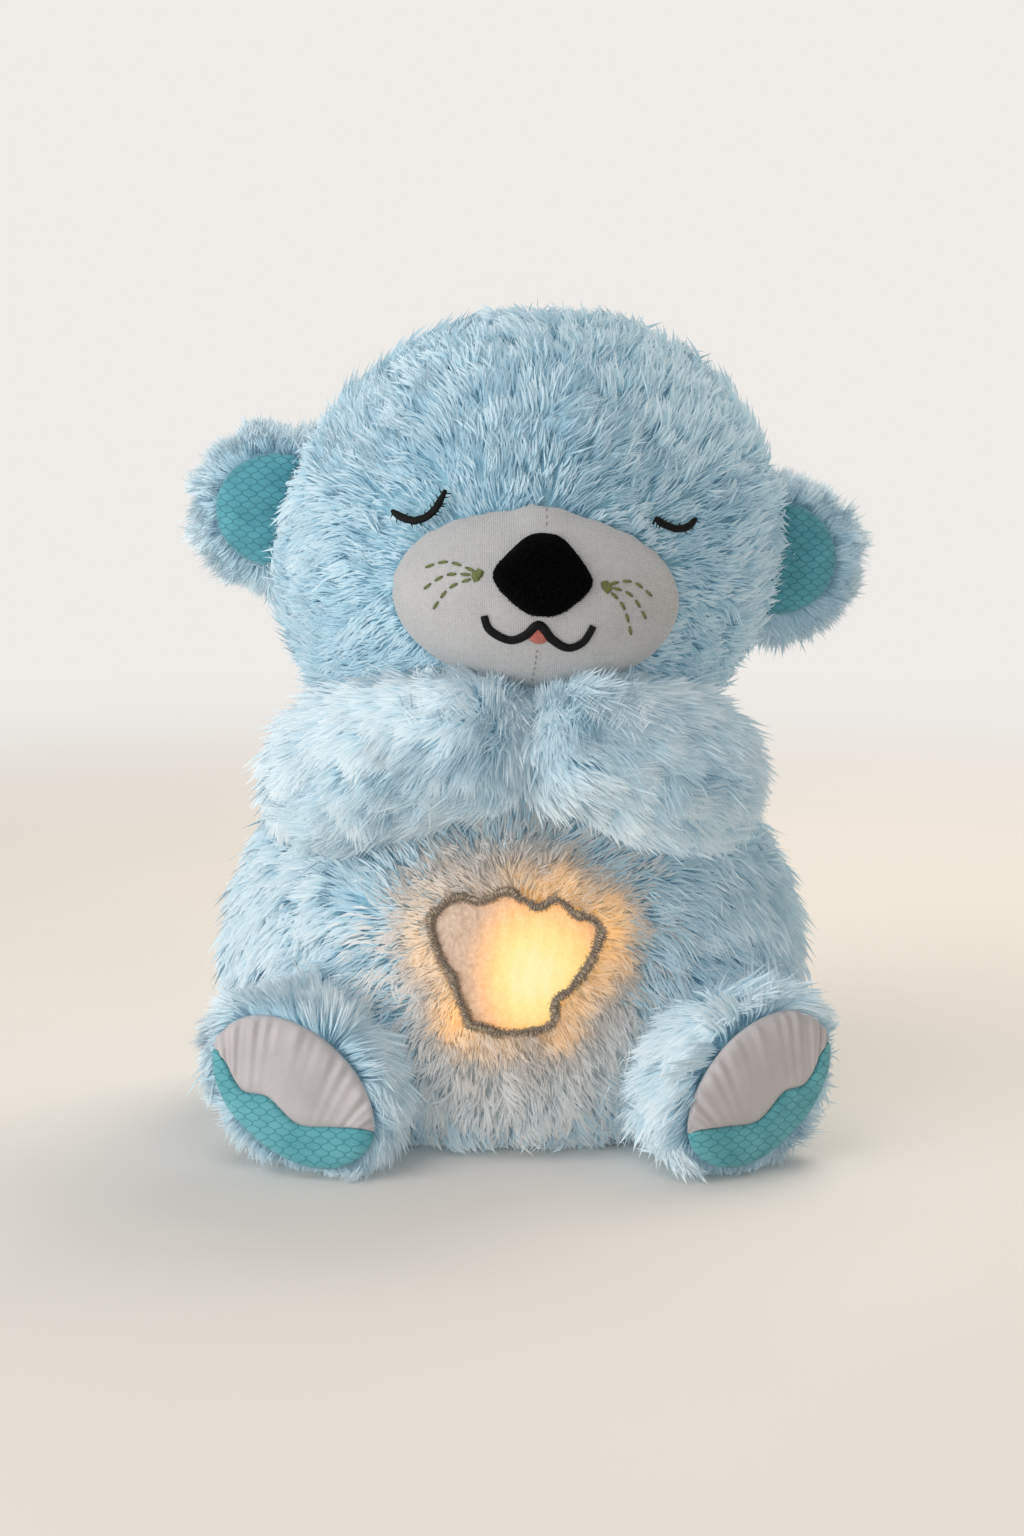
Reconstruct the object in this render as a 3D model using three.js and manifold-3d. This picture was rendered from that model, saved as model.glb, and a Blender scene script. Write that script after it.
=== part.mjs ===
// Plush night light: a sleeping otter that sits, with a glowing window in its belly.
// Millimetres, +Z up, the face looks along -Y, origin on the floor under the torso.
import * as THREE from 'three';
import { mergeVertices } from 'three/addons/utils/BufferGeometryUtils.js';
import Module from 'manifold-3d';

// Gaps and cuts shared by all pieces
const SEWN_GAP = 0.3;
const SOCKET_GAP = 0.5;
const CUT_OVERRUN = 8;
const FLOOR_FLAT = 0.5;

// Facets of round forms
const BODY_SIDES = 24;
const LIMB_SIDES = 18;
const SMALL_SIDES = 14;
const STEPS_PER_STATION = 1;
const STROKE_STEPS_PER_POINT = 2;
const BALL_RINGS_PER_SIDE = 0.55;
const FACET_TOLERANCE = 0.15;

// Torso: a pear that sits on a flat base, with a round neck
const TORSO_HEIGHT = 150;
const TORSO_HALF_WIDTH = 102;
const BELLY_DEPTH = 86;
const BACK_DEPTH = 72;
const TORSO_RISE_SHARES = [0, 0.003, 0.03, 0.12, 0.25, 0.38, 0.5, 0.62, 0.73, 0.83, 0.92, 0.98, 1];
const TORSO_WIDTH_SHARES = [0, 0.72, 0.83, 0.93, 0.985, 1, 0.965, 0.89, 0.79, 0.66, 0.49, 0.27, 0];
const BELLY_SHARES = [0, 0.75, 0.84, 0.93, 0.985, 1, 0.99, 0.93, 0.8, 0.66, 0.49, 0.27, 0];
const BACK_SHARES = [0, 0.75, 0.86, 0.95, 0.99, 1, 0.98, 0.92, 0.84, 0.73, 0.56, 0.31, 0];
const NECK_RADIUS = 58;
const NECK_GAP = 0.8;
const NECK_SIDES = 28;
const NECK_Y = 2;
const NECK_RISE_SHARE = 0.713;

// Head: a wide ball whose crown sits to one side, and that leans and turns a little
const HEAD_HALF_WIDTH = 87;
const HEAD_HALF_DEPTH = 72;
const HEAD_HALF_HEIGHT = 82;
const HEAD_X = 5.4;
const HEAD_Y = -5;
const HEAD_RISE = 93;
const HEAD_SLANT = 0.085;
const HEAD_LEAN_DEGREES = 4.5;
const HEAD_TURN_DEGREES = 3;
const NOD_DEGREES = 18;

// Muzzle with its bridge, all in shares of the head
const MUZZLE_HALF_WIDTH = 48;
const MUZZLE_HALF_HEIGHT = 31;
const MUZZLE_DEPTH = 33;
const MUZZLE_FORWARD_SHARE = 0.806;
const MUZZLE_DROP_SHARE = 0.122;
const BRIDGE_WIDTH_SHARE = 0.46;
const BRIDGE_HEIGHT_SHARE = 0.6;
const BRIDGE_DEPTH_SHARE = 0.82;
const BRIDGE_LIFT_SHARE = 0.46;

// Nose, mouth and tongue, drawn on the muzzle as seen from the front
const NOSE_HALF_WIDTH = 16;
const NOSE_HALF_HEIGHT = 13;
const NOSE_LIFT = 9.1;
const NOSE_STAND = 4;
const NOSE_STEPS_PER_POINT = 2;
const NOSE_OUTLINE_SHARES = [
  [0, 1], [0.38, 0.86], [0.86, 0.28], [1, 0], [0.84, -0.36], [0.36, -0.88],
  [0, -1], [-0.36, -0.88], [-0.84, -0.36], [-1, 0], [-0.86, 0.28], [-0.38, 0.86],
];
const SMILE_HALF_WIDTH = 18;
const SMILE_DROP = 10;
const SMILE_HALF_HEIGHT = 3.7;
const SMILE_STROKE = 2.2;
const SMILE_STAND = 1.2;
const SMILE_SHARES = [
  [-1, 0.84], [-0.87, -0.1], [-0.52, -0.8], [-0.22, -0.35], [0, 0.78],
  [0.22, -0.45], [0.56, -1], [0.82, -0.35], [1, 0.9],
];
const TONGUE_HALF_WIDTH = 3.4;
const TONGUE_HALF_LENGTH = 3.2;
const TONGUE_DROP = 1;
const TONGUE_STAND = 0.9;

// Closed eyelids, drawn on the head as seen from the front
const EYE_LEFT_X = -39.5;
const EYE_RIGHT_X = 42.5;
const EYE_LEFT_LIFT = 15.5;
const EYE_RIGHT_LIFT = 17;
const EYE_LEFT_HALF_WIDTH = 8.8;
const EYE_RIGHT_HALF_WIDTH = 6.2;
const EYE_LEFT_HALF_HEIGHT = 5.4;
const EYE_RIGHT_HALF_HEIGHT = 2.2;
const EYE_STROKE = 2.4;
const EYE_STAND = 3.6;
const EYE_LEFT_SHARES = [[-1, -0.5], [-0.45, -0.95], [0.2, -0.7], [0.7, 0.15], [1, 1]];
const EYE_RIGHT_SHARES = [[-1, 0.5], [-0.45, -0.6], [0.1, -1], [0.65, -0.35], [1, 0.9]];
const EYELIDS = [
  ['eyelid_left', EYE_LEFT_SHARES, EYE_LEFT_HALF_WIDTH, EYE_LEFT_HALF_HEIGHT, EYE_LEFT_X, EYE_LEFT_LIFT],
  ['eyelid_right', EYE_RIGHT_SHARES, EYE_RIGHT_HALF_WIDTH, EYE_RIGHT_HALF_HEIGHT, EYE_RIGHT_X, EYE_RIGHT_LIFT],
];

// Ears at the sides of the head
const EAR_HALF_WIDTH = 28;
const EAR_HALF_DEPTH = 10;
const EAR_HALF_HEIGHT = 26.5;
const EAR_OUT_SHARE = 1.01;
const EAR_LEFT_LIFT_SHARE = 0.08;
const EAR_RIGHT_LIFT_SHARE = 0.035;
const EAR_BACK = 7;
const INNER_EAR_SHARE = 0.77;
const INNER_EAR_STAND = 2.2;

// Arms: a ball in a shoulder socket, an elbow and a paw on the chest
const SHOULDER_OUT_SHARE = 0.588;
const SHOULDER_FORWARD_SHARE = 0.256;
const SHOULDER_RISE_SHARE = 0.776;
const SHOULDER_RADIUS = 22;
const ELBOW_RADIUS = 24.5;
const PAW_RADIUS = 19;
const ELBOW_IN = 8;
const ELBOW_FORWARD = 34;
const ELBOW_RISE = 14;
const PAW_FORWARD = 56;
const PAW_RISE = 28;
const PAW_MEET_X = 5;
const PAW_TIP = 10.5;
const ARM_RINGS = 6;
const PAW_CAP_RINGS = 2;
const ARM_SWING_DEGREES = 50;

// Legs: a ball in a hip socket and a foot that leans outward
const HIP_OUT_SHARE = 0.6;
const HIP_FORWARD_SHARE = 0.674;
const HIP_RADIUS = 24;
const LEG_LENGTH = 43;
const FOOT_LONG_RADIUS = 34;
const FOOT_SHORT_RADIUS = 26;
const FOOT_LEAN_DEGREES = 38;
const LEFT_TOE_OUT_DEGREES = 15;
const RIGHT_TOE_OUT_DEGREES = 30;
const LEG_SPLAY_DEGREES = 12;
const LEG_REACH_SHARES = [-0.4, -0.37, -0.25, 0, 0.3, 0.6, 0.85, 0.96, 1];
const LEG_LONG_SHARES = [0, 0.4, 0.66, 0.76, 0.86, 0.97, 1, 0.84, 0];
const LEG_SHORT_SHARES = [0, 0.45, 0.8, 0.94, 0.98, 1, 0.97, 0.78, 0];
const SWEEP_STEPS = 3;

// Soles: a pale half and a patterned half, split by a wavy seam
const SOLE_LONG_RADIUS = 30.5;
const SOLE_SHORT_RADIUS = 21;
const SOLE_STAND = 2.4;
const SOLE_DEPTH = 9;
const SOLE_CUTTER_SHARE = 2;
const SOLE_STEPS_PER_POINT = 2;
const SOLE_SEAM_SHARES = [
  [-1.3, -0.2], [-0.8, -0.3], [-0.45, -0.5], [-0.17, -0.29],
  [0.25, -0.31], [0.57, 0.03], [0.84, 0.33], [1.3, 0.4],
];

// Tail behind the seat
const TAIL_LENGTH = 46;
const TAIL_HALF_WIDTH = 21;
const TAIL_HALF_HEIGHT = 11;
const TAIL_REACH_SHARES = [0, 0.05, 0.25, 0.5, 0.75, 0.93, 1];
const TAIL_GIRTH_SHARES = [0, 0.7, 1, 0.95, 0.75, 0.4, 0];
const TAIL_SUNK_SHARE = 0.3;

// Belly patch and the window sewn into it
const BELLY_PATCH_X = 3;
const BELLY_PATCH_RISE_SHARE = 0.387;
const BELLY_PATCH_HALF_WIDTH = 38;
const BELLY_PATCH_HEIGHT_SHARE = 0.327;
const BELLY_PATCH_STAND = 2.4;
const WINDOW_X = 1;
const WINDOW_RISE_SHARE = 0.47;
const WINDOW_HALF_WIDTH = 28;
const WINDOW_HALF_HEIGHT = 23;
const WINDOW_RIM = 3;
const WINDOW_STAND = 3;
const BORDER_RADIUS = 1.4;
const BORDER_SIDES = 5;
const WINDOW_STEPS_PER_POINT = 2;
const WINDOW_OUTLINE_SHARES = [
  [-0.98, 0.56], [-0.81, 0.8], [-0.61, 0.88], [-0.41, 0.82], [-0.21, 0.91], [-0.04, 0.96],
  [0.23, 0.75], [0.47, 0.84], [0.7, 0.66], [0.9, 0.54], [1, 0.38], [0.88, -0.03],
  [0.67, -0.39], [0.48, -0.6], [0.45, -0.86], [0.29, -0.98], [-0.04, -1.04], [-0.33, -0.98],
  [-0.53, -0.89], [-0.61, -0.66], [-0.74, -0.24], [-0.93, 0.19],
];

// Light module: a two-part housing in a pocket that opens at the base
const MODULE_SIDE_MARGIN = 3.15;
const MODULE_FLOOR_RISE = 6.5;
const MODULE_ABOVE_AXIS = 29;
const MODULE_FRONT_DEPTH = 22;
const MODULE_REAR_DEPTH = 26;
const MODULE_WALL = 2;
const MODULE_CORNER = 5;
const MODULE_CORNER_STEPS = 2;
const MODULE_SET_BACK = 31;
const POCKET_GAP = 0.4;

// Frosted dome that is pressed through the window
const DOME_RADIUS = 19;
const DOME_FLANGE_RADIUS = 22;
const DOME_FLANGE = 2;
const DOME_TRAVEL = 1.5;
const DOME_WINDOW_GAP = 1.6;
const DOME_WALL = 2;
const DOME_GUIDE_GAP = 0.4;
const DOME_SLEEVE_GAP = 0.8;
const DOME_STEPS = 4;
const DOME_CROWN = 7;

// Board, lamps, reflector and touch switch behind the dome
const BOARD_WIDTH = 48;
const BOARD_HEIGHT = 36;
const BOARD_THICKNESS = 1.6;
const BOARD_BACK = 14;
const BOARD_POST_RADIUS = 2.5;
const BOARD_POST_INSET_ACROSS = 4;
const BOARD_POST_INSET_UP = 3;
const LAMP_RADIUS = 2.5;
const LAMP_HEIGHT = 2.4;
const LAMP_TOP_RADIUS = 1.75;
const LAMP_SHOULDER = 2;
const LAMP_CIRCLE_RADIUS = 4.6;
const LAMP_COUNT = 3;
const REFLECTOR_FOOT_RADIUS = 8.5;
const REFLECTOR_RIM_RADIUS = 17;
const REFLECTOR_WALL = 1;
const TOUCH_SWITCH_SIZE = 4;
const TOUCH_SWITCH_BODY = 3;
const TOUCH_SWITCH_PLUNGER_RADIUS = 1.2;

// Batteries in a bay that opens to the rear
const BATTERY_DIAMETER = 14.5;
const BATTERY_LENGTH = 50.5;
const BATTERY_COUNT = 3;
const BATTERY_PITCH = 15.5;
const BATTERY_NUB_RADIUS = 2.7;
const BATTERY_NUB = 1.4;
const CONTACT_THICKNESS = 1;
const CONTACT_WIDTH = 9;
const BAY_GAP = 0.4;
const BAY_WALL = 1.6;
const BAY_BOTTOM_RISE = 12;
const COVER_THICKNESS = 2;
const COVER_LEDGE = 3;
const COVER_TAB = 9;
const COVER_GROOVE = 0.8;
const COVER_GROOVE_COUNT = 5;
const COVER_GROOVE_PITCH = 3.2;
const COVER_GROOVE_LENGTH = 16;

// Screws
const SCREW_RADIUS = 1.2;
const SCREW_HEAD_RADIUS = 2.6;
const SCREW_HEAD = 1.4;
const SCREW_LENGTH = 12;
const SCREW_SLOT = 0.7;
const BOSS_RADIUS = 3.6;
const BOSS_INSET = 5.5;
const BOSS_FLOOR = 3;
const SCREW_SIDES = 8;

// Slide switch at the base of the module
const SWITCH_KNOB_LENGTH = 6;
const SWITCH_KNOB_WIDTH = 3;
const SWITCH_KNOB_STAND = 1.5;
const SWITCH_TRAVEL = 4;
const SWITCH_PLATE_MARGIN = 2;
const SWITCH_PLATE = 1.2;
const SWITCH_X = 4;

// Flap with hook and loop strips that closes the pocket
const FLAP_THICKNESS = 1.8;
const FLAP_MARGIN = 2.5;
const FLAP_TONGUE = 6;
const STRIP_THICKNESS = 1;
const STRIP_LENGTH = 52;
const STRIP_WIDTH = 4.5;
const FLAP_EDGE_SIDES = 12;

// Half-spaces and far ends of cutters reach past the whole toy
const FAR = TORSO_HEIGHT * 2;

// Colours and surfaces
const FUR_BLUE = 0xa9c9dc;
const FUR_PALE = 0xd3dfe6;
const KNIT_WHITE = 0xd9d5d3;
const VELVET_BLACK = 0x111114;
const THREAD_BLACK = 0x17161a;
const TONGUE_RED = 0xb4645a;
const SATIN_CREAM = 0xd3c7c4;
const PRINT_TEAL = 0x5fb0b5;
const WINDOW_GLOW = 0xffdf8a;
const CORD_GREY = 0x8d8578;
const TAPE_WHITE = 0xe6e8ea;
const PLASTIC_WHITE = 0xece9e2;
const FROSTED = 0xfaf3df;
const BOARD_GREEN = 0x2c6b45;
const LAMP_YELLOW = 0xffe9a6;
const STEEL = 0xb9bcc0;
const BATTERY_GREY = 0x4a4f55;
const SWITCH_GREY = 0x5c6168;
const FABRIC_ROUGHNESS = 0.95;
const SATIN_ROUGHNESS = 0.6;
const PLASTIC_ROUGHNESS = 0.45;
const METAL_ROUGHNESS = 0.3;

const wasm = await Module();
wasm.setup();
const { Manifold, Mesh } = wasm;

const SIDES = [-1, 1];
const SOLE_HALVES = [
  ['cream', 1, SATIN_CREAM, SATIN_ROUGHNESS],
  ['teal', -1, PRINT_TEAL, FABRIC_ROUGHNESS],
];

// Turns a closed surface right side out
function outward(geometry) {
  const { position } = geometry.attributes;
  const order = geometry.index.array;
  const corner = (i) => new THREE.Vector3().fromBufferAttribute(position, order[i]);
  let volume = 0;
  for (let i = 0; i < order.length; i += 3) {
    volume += corner(i).dot(corner(i + 1).cross(corner(i + 2)));
  }
  if (volume < 0) {
    geometry.setIndex(Array.from(order).reverse());
  }
  return geometry;
}

// Geometry to solid and back
function solid(geometry) {
  const bare = geometry.clone();
  bare.deleteAttribute('normal');
  bare.deleteAttribute('uv');
  const merged = mergeVertices(bare);
  const mesh = new Mesh({
    numProp: 3,
    vertProperties: new Float32Array(merged.attributes.position.array),
    triVerts: new Uint32Array(merged.index.array),
  });
  mesh.merge();
  return new Manifold(mesh);
}

function geometryOf(shape) {
  const mesh = shape.getMesh();
  const geometry = new THREE.BufferGeometry();
  geometry.setAttribute('position', new THREE.BufferAttribute(mesh.vertProperties, mesh.numProp));
  geometry.setIndex(new THREE.BufferAttribute(mesh.triVerts, 1));
  geometry.computeVertexNormals();
  return geometry;
}

function moved(shape, matrix) {
  return shape.transform(matrix.elements);
}

function joined(shapes) {
  return shapes.reduce((sum, shape) => sum.add(shape));
}

function without(shape, cutters) {
  return cutters.reduce((rest, cutter) => rest.subtract(cutter), shape);
}

// A copy of a closed form, grown along its vertex normals
function swollen(form, distance) {
  const bare = form.clone();
  bare.deleteAttribute('normal');
  bare.deleteAttribute('uv');
  const grown = mergeVertices(bare);
  grown.computeVertexNormals();
  const { position, normal } = grown.attributes;
  for (let i = 0; i < position.count; i++) {
    position.setXYZ(
      i,
      position.getX(i) + normal.getX(i) * distance,
      position.getY(i) + normal.getY(i) * distance,
      position.getZ(i) + normal.getZ(i) * distance,
    );
  }
  return grown;
}

// Smooth value through a row of stations
function along(values, place) {
  const last = values.length - 1;
  const i = Math.min(Math.floor(place), last - 1);
  const f = place - i;
  const a = values[Math.max(i - 1, 0)];
  const b = values[i];
  const c = values[i + 1];
  const d = values[Math.min(i + 2, last)];
  const slopeIn = (c - a) / 2;
  const slopeOut = (d - b) / 2;
  const rise = c - b;
  return b + f * (slopeIn + f * (3 * rise - 2 * slopeIn - slopeOut + f * (slopeIn + slopeOut - 2 * rise)));
}

// Closed skin over rings that run from a start point to an end point
function loft(startPoint, rings, endPoint) {
  const sides = rings[0].length;
  const points = [startPoint, ...rings.flat(), endPoint];
  const at = (ring, side) => 1 + ring * sides + (side % sides);
  const lastRing = rings.length - 1;
  const index = [];
  for (let side = 0; side < sides; side++) {
    index.push(0, at(0, side + 1), at(0, side));
    for (let ring = 0; ring < lastRing; ring++) {
      index.push(at(ring, side), at(ring, side + 1), at(ring + 1, side + 1));
      index.push(at(ring, side), at(ring + 1, side + 1), at(ring + 1, side));
    }
    index.push(points.length - 1, at(lastRing, side), at(lastRing, side + 1));
  }
  const geometry = new THREE.BufferGeometry().setFromPoints(points);
  geometry.setIndex(index);
  return geometry;
}

// Places between the first and last station, where the rings of a loft stand
function ringPlaces(stationCount) {
  const places = [];
  for (let i = 1; i < (stationCount - 1) * STEPS_PER_STATION; i++) {
    places.push(i / STEPS_PER_STATION);
  }
  return places;
}

function aroundRing(sides, pointAt) {
  return Array.from({ length: sides }, (_, side) => pointAt((2 * Math.PI * side) / sides));
}

function ellipsoid(halfWidth, halfDepth, halfHeight, sides) {
  const ball = new THREE.SphereGeometry(1, sides, Math.round(sides * BALL_RINGS_PER_SIDE));
  ball.rotateX(Math.PI / 2);
  return ball.scale(halfWidth, halfDepth, halfHeight);
}

function ball(radius, sides) {
  return solid(ellipsoid(radius, radius, radius, sides));
}

function box(low, high) {
  const size = new THREE.Vector3().subVectors(high, low);
  const middle = new THREE.Vector3().addVectors(low, high).divideScalar(2);
  return solid(new THREE.BoxGeometry(size.x, size.y, size.z).translate(middle.x, middle.y, middle.z));
}

// Cylinder along Y between two places
function rod(radius, yLow, yHigh, x, z, sides) {
  const cylinder = new THREE.CylinderGeometry(radius, radius, yHigh - yLow, sides);
  return solid(cylinder.translate(x, (yLow + yHigh) / 2, z));
}

// Turned piece about the Y axis; profile points are radius and place along Y
function turned(profile, sides) {
  const points = profile.map(([radius, y]) => new THREE.Vector2(radius, y));
  return solid(outward(new THREE.LatheGeometry(points, sides)));
}

// Straight cutter along Y with an outline seen from the front
function prism(outline, yFront, yBack) {
  const shape = new THREE.Shape(outline);
  const slab = new THREE.ExtrudeGeometry(shape, { depth: yBack - yFront, bevelEnabled: false });
  slab.rotateX(Math.PI / 2);
  return solid(slab.translate(0, yBack, 0));
}

function scaledPoints(shares, halfWidth, halfHeight, x, z) {
  return shares.map(([across, up]) => new THREE.Vector2(x + across * halfWidth, z + up * halfHeight));
}

function smoothLoop(points, stepsPerPoint) {
  const curve = new THREE.CatmullRomCurve3(points.map((p) => new THREE.Vector3(p.x, 0, p.y)), true);
  const loop = curve.getPoints(points.length * stepsPerPoint).slice(0, -1);
  return loop.map((p) => new THREE.Vector2(p.x, p.z));
}

function ovalOutline(halfWidth, halfHeight, x, z, sides) {
  return aroundRing(sides, (angle) => (
    new THREE.Vector2(x + halfWidth * Math.cos(angle), z + halfHeight * Math.sin(angle))
  ));
}

// Outline of a stroke of even width with round ends along a smooth line
function strokeOutline(points, width) {
  const line = new THREE.SplineCurve(points);
  const count = points.length * STROKE_STEPS_PER_POINT;
  const half = width / 2;
  const oneSide = [];
  const otherSide = [];
  for (let i = 0; i <= count; i++) {
    const place = line.getPoint(i / count);
    const tangent = line.getTangent(i / count);
    const normal = new THREE.Vector2(-tangent.y, tangent.x);
    oneSide.push(place.clone().addScaledVector(normal, half));
    otherSide.unshift(place.clone().addScaledVector(normal, -half));
  }
  const roundEnd = (place, tangent, sign) => place.clone().addScaledVector(tangent, sign * half);
  const farEnd = roundEnd(line.getPoint(1), line.getTangent(1), 1);
  const nearEnd = roundEnd(line.getPoint(0), line.getTangent(0), -1);
  return [...oneSide, farEnd, ...otherSide, nearEnd].reverse();
}

// A layer of fabric that follows the front of a form inside an outline seen from the front
function layer(form, outline, stand, depth) {
  const reach = new THREE.Box3().setFromBufferAttribute(form.attributes.position);
  const cutter = prism(outline, reach.min.y - stand - CUT_OVERRUN, reach.min.y + depth);
  return solid(swollen(form, SEWN_GAP + stand)).intersect(cutter).subtract(solid(swollen(form, SEWN_GAP)));
}

// A place at a height above a form's front face, found along a line from the front
function frontOf(form, x, z, height = 0) {
  const mesh = new THREE.Mesh(form, new THREE.MeshStandardMaterial());
  const ray = new THREE.Raycaster(new THREE.Vector3(x, -FAR, z), new THREE.Vector3(0, 1, 0));
  const { point, face } = ray.intersectObject(mesh)[0];
  return point.clone().addScaledVector(face.normal, height);
}

// Everything below the floor
function belowFloor() {
  return box(new THREE.Vector3(-FAR, -FAR, -FAR), new THREE.Vector3(FAR, FAR, 0));
}

function finish(color, roughness, metalness = 0) {
  return new THREE.MeshStandardMaterial({ color, roughness, metalness });
}

function addPiece(group, name, shape, material) {
  const mesh = new THREE.Mesh(geometryOf(shape.simplify(FACET_TOLERANCE)), material);
  mesh.name = name;
  group.add(mesh);
  return mesh;
}

// Ring of points about a line of travel, with its own long and short radius
function ringAcross(centre, travel, longRadius, shortRadius, sides, lean = 0) {
  const up = new THREE.Vector3(0, 0, 1);
  const across = new THREE.Vector3().crossVectors(travel, up).normalize();
  const rise = new THREE.Vector3().crossVectors(across, travel).normalize();
  return aroundRing(sides, (angle) => {
    const long = longRadius * Math.cos(angle);
    const short = -shortRadius * Math.sin(angle);
    return centre.clone()
      .addScaledVector(across, long * Math.cos(lean) - short * Math.sin(lean))
      .addScaledVector(rise, long * Math.sin(lean) + short * Math.cos(lean));
  });
}

// Closed tube of even radius along a loop of points
function loopTube(points, radius, sides) {
  const rings = points.map((point, i) => {
    const before = points[(i + points.length - 1) % points.length];
    const after = points[(i + 1) % points.length];
    const travel = new THREE.Vector3().subVectors(after, before).normalize();
    const out = new THREE.Vector3(0, -1, 0).addScaledVector(travel, travel.y).normalize();
    const side = new THREE.Vector3().crossVectors(travel, out);
    return aroundRing(sides, (angle) => point.clone()
      .addScaledVector(out, radius * Math.cos(angle))
      .addScaledVector(side, -radius * Math.sin(angle)));
  });
  const at = (ring, side) => (ring % rings.length) * sides + (side % sides);
  const index = [];
  for (let ring = 0; ring < rings.length; ring++) {
    for (let side = 0; side < sides; side++) {
      index.push(at(ring, side), at(ring + 1, side + 1), at(ring, side + 1));
      index.push(at(ring, side), at(ring + 1, side), at(ring + 1, side + 1));
    }
  }
  const geometry = new THREE.BufferGeometry().setFromPoints(rings.flat());
  geometry.setIndex(index);
  return outward(geometry);
}

// Soft forms
function torsoForm() {
  const height = (share) => share * TORSO_HEIGHT - FLOOR_FLAT;
  const rings = ringPlaces(TORSO_RISE_SHARES.length).map((place) => {
    const halfWidth = along(TORSO_WIDTH_SHARES, place) * TORSO_HALF_WIDTH;
    const front = along(BELLY_SHARES, place) * BELLY_DEPTH;
    const back = along(BACK_SHARES, place) * BACK_DEPTH;
    const z = height(along(TORSO_RISE_SHARES, place));
    return aroundRing(BODY_SIDES, (angle) => {
      const depth = Math.sin(angle) < 0 ? front : back;
      return new THREE.Vector3(halfWidth * Math.cos(angle), depth * Math.sin(angle), z);
    });
  });
  return loft(new THREE.Vector3(0, 0, height(0)), rings, new THREE.Vector3(0, 0, height(1)));
}

// Arm from the middle of its shoulder ball to its paw; side is -1 or 1
function armForm(side, pawX) {
  const path = new THREE.CatmullRomCurve3([
    new THREE.Vector3(),
    new THREE.Vector3(-side * ELBOW_IN, -ELBOW_FORWARD, ELBOW_RISE),
    new THREE.Vector3(pawX, -PAW_FORWARD, PAW_RISE),
  ]);
  const radii = [SHOULDER_RADIUS, ELBOW_RADIUS, PAW_RADIUS];
  const rings = [];
  for (let i = 0; i <= ARM_RINGS; i++) {
    const t = i / ARM_RINGS;
    const radius = along(radii, t * (radii.length - 1));
    rings.push(ringAcross(path.getPoint(t), path.getTangent(t), radius, radius, LIMB_SIDES));
  }
  const wrist = path.getPoint(1);
  const travel = path.getTangent(1);
  for (let i = 1; i <= PAW_CAP_RINGS; i++) {
    const angle = (Math.PI / 2) * (i / (PAW_CAP_RINGS + 1));
    const centre = wrist.clone().addScaledVector(travel, PAW_TIP * Math.sin(angle));
    const radius = PAW_RADIUS * Math.cos(angle);
    rings.push(ringAcross(centre, travel, radius, radius, LIMB_SIDES));
  }
  return loft(new THREE.Vector3(), rings, wrist.clone().addScaledVector(travel, PAW_TIP));
}

// Leg along -Y from its hip ball to the sole; side is -1 or 1
function legForm(side) {
  const forward = new THREE.Vector3(0, -1, 0);
  const lean = THREE.MathUtils.degToRad(side * FOOT_LEAN_DEGREES);
  const centre = (share) => new THREE.Vector3(0, -share * LEG_LENGTH, 0);
  const rings = ringPlaces(LEG_REACH_SHARES.length).map((place) => ringAcross(
    centre(along(LEG_REACH_SHARES, place)),
    forward,
    along(LEG_LONG_SHARES, place) * FOOT_LONG_RADIUS,
    along(LEG_SHORT_SHARES, place) * FOOT_SHORT_RADIUS,
    LIMB_SIDES,
    -lean,
  ));
  return loft(centre(LEG_REACH_SHARES[0]), rings, centre(LEG_REACH_SHARES.at(-1)));
}

function tailForm() {
  const backward = new THREE.Vector3(0, 1, 0);
  const rootY = BACK_DEPTH - TAIL_SUNK_SHARE * TAIL_LENGTH;
  const z = TAIL_HALF_HEIGHT - FLOOR_FLAT;
  const centre = (share) => new THREE.Vector3(0, rootY + share * TAIL_LENGTH, z);
  const rings = ringPlaces(TAIL_REACH_SHARES.length).map((place) => {
    const girth = along(TAIL_GIRTH_SHARES, place);
    const middle = centre(along(TAIL_REACH_SHARES, place));
    return ringAcross(middle, backward, girth * TAIL_HALF_WIDTH, girth * TAIL_HALF_HEIGHT, SMALL_SIDES);
  });
  return loft(centre(0), rings, centre(1));
}

// Places of the main joints
const toy = new THREE.Group();
const neckMiddle = new THREE.Vector3(0, NECK_Y, NECK_RISE_SHARE * TORSO_HEIGHT - FLOOR_FLAT);
const headGroup = new THREE.Group();
const headTurn = new THREE.Group();
headGroup.position.set(HEAD_X, HEAD_Y, neckMiddle.z + HEAD_RISE);
headGroup.rotation.y = THREE.MathUtils.degToRad(HEAD_LEAN_DEGREES);
headTurn.rotation.z = THREE.MathUtils.degToRad(HEAD_TURN_DEGREES);
headGroup.add(headTurn);
toy.add(headGroup);
toy.updateMatrixWorld(true);

function shoulderPlace(side) {
  return new THREE.Vector3(
    side * SHOULDER_OUT_SHARE * TORSO_HALF_WIDTH,
    -SHOULDER_FORWARD_SHARE * BELLY_DEPTH,
    SHOULDER_RISE_SHARE * TORSO_HEIGHT,
  );
}

function hipPlace(side) {
  const lean = THREE.MathUtils.degToRad(FOOT_LEAN_DEGREES);
  const footHalfHeight = Math.hypot(FOOT_LONG_RADIUS * Math.sin(lean), FOOT_SHORT_RADIUS * Math.cos(lean));
  return new THREE.Vector3(
    side * HIP_OUT_SHARE * TORSO_HALF_WIDTH,
    -HIP_FORWARD_SHARE * BELLY_DEPTH,
    footHalfHeight - FLOOR_FLAT,
  );
}

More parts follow.
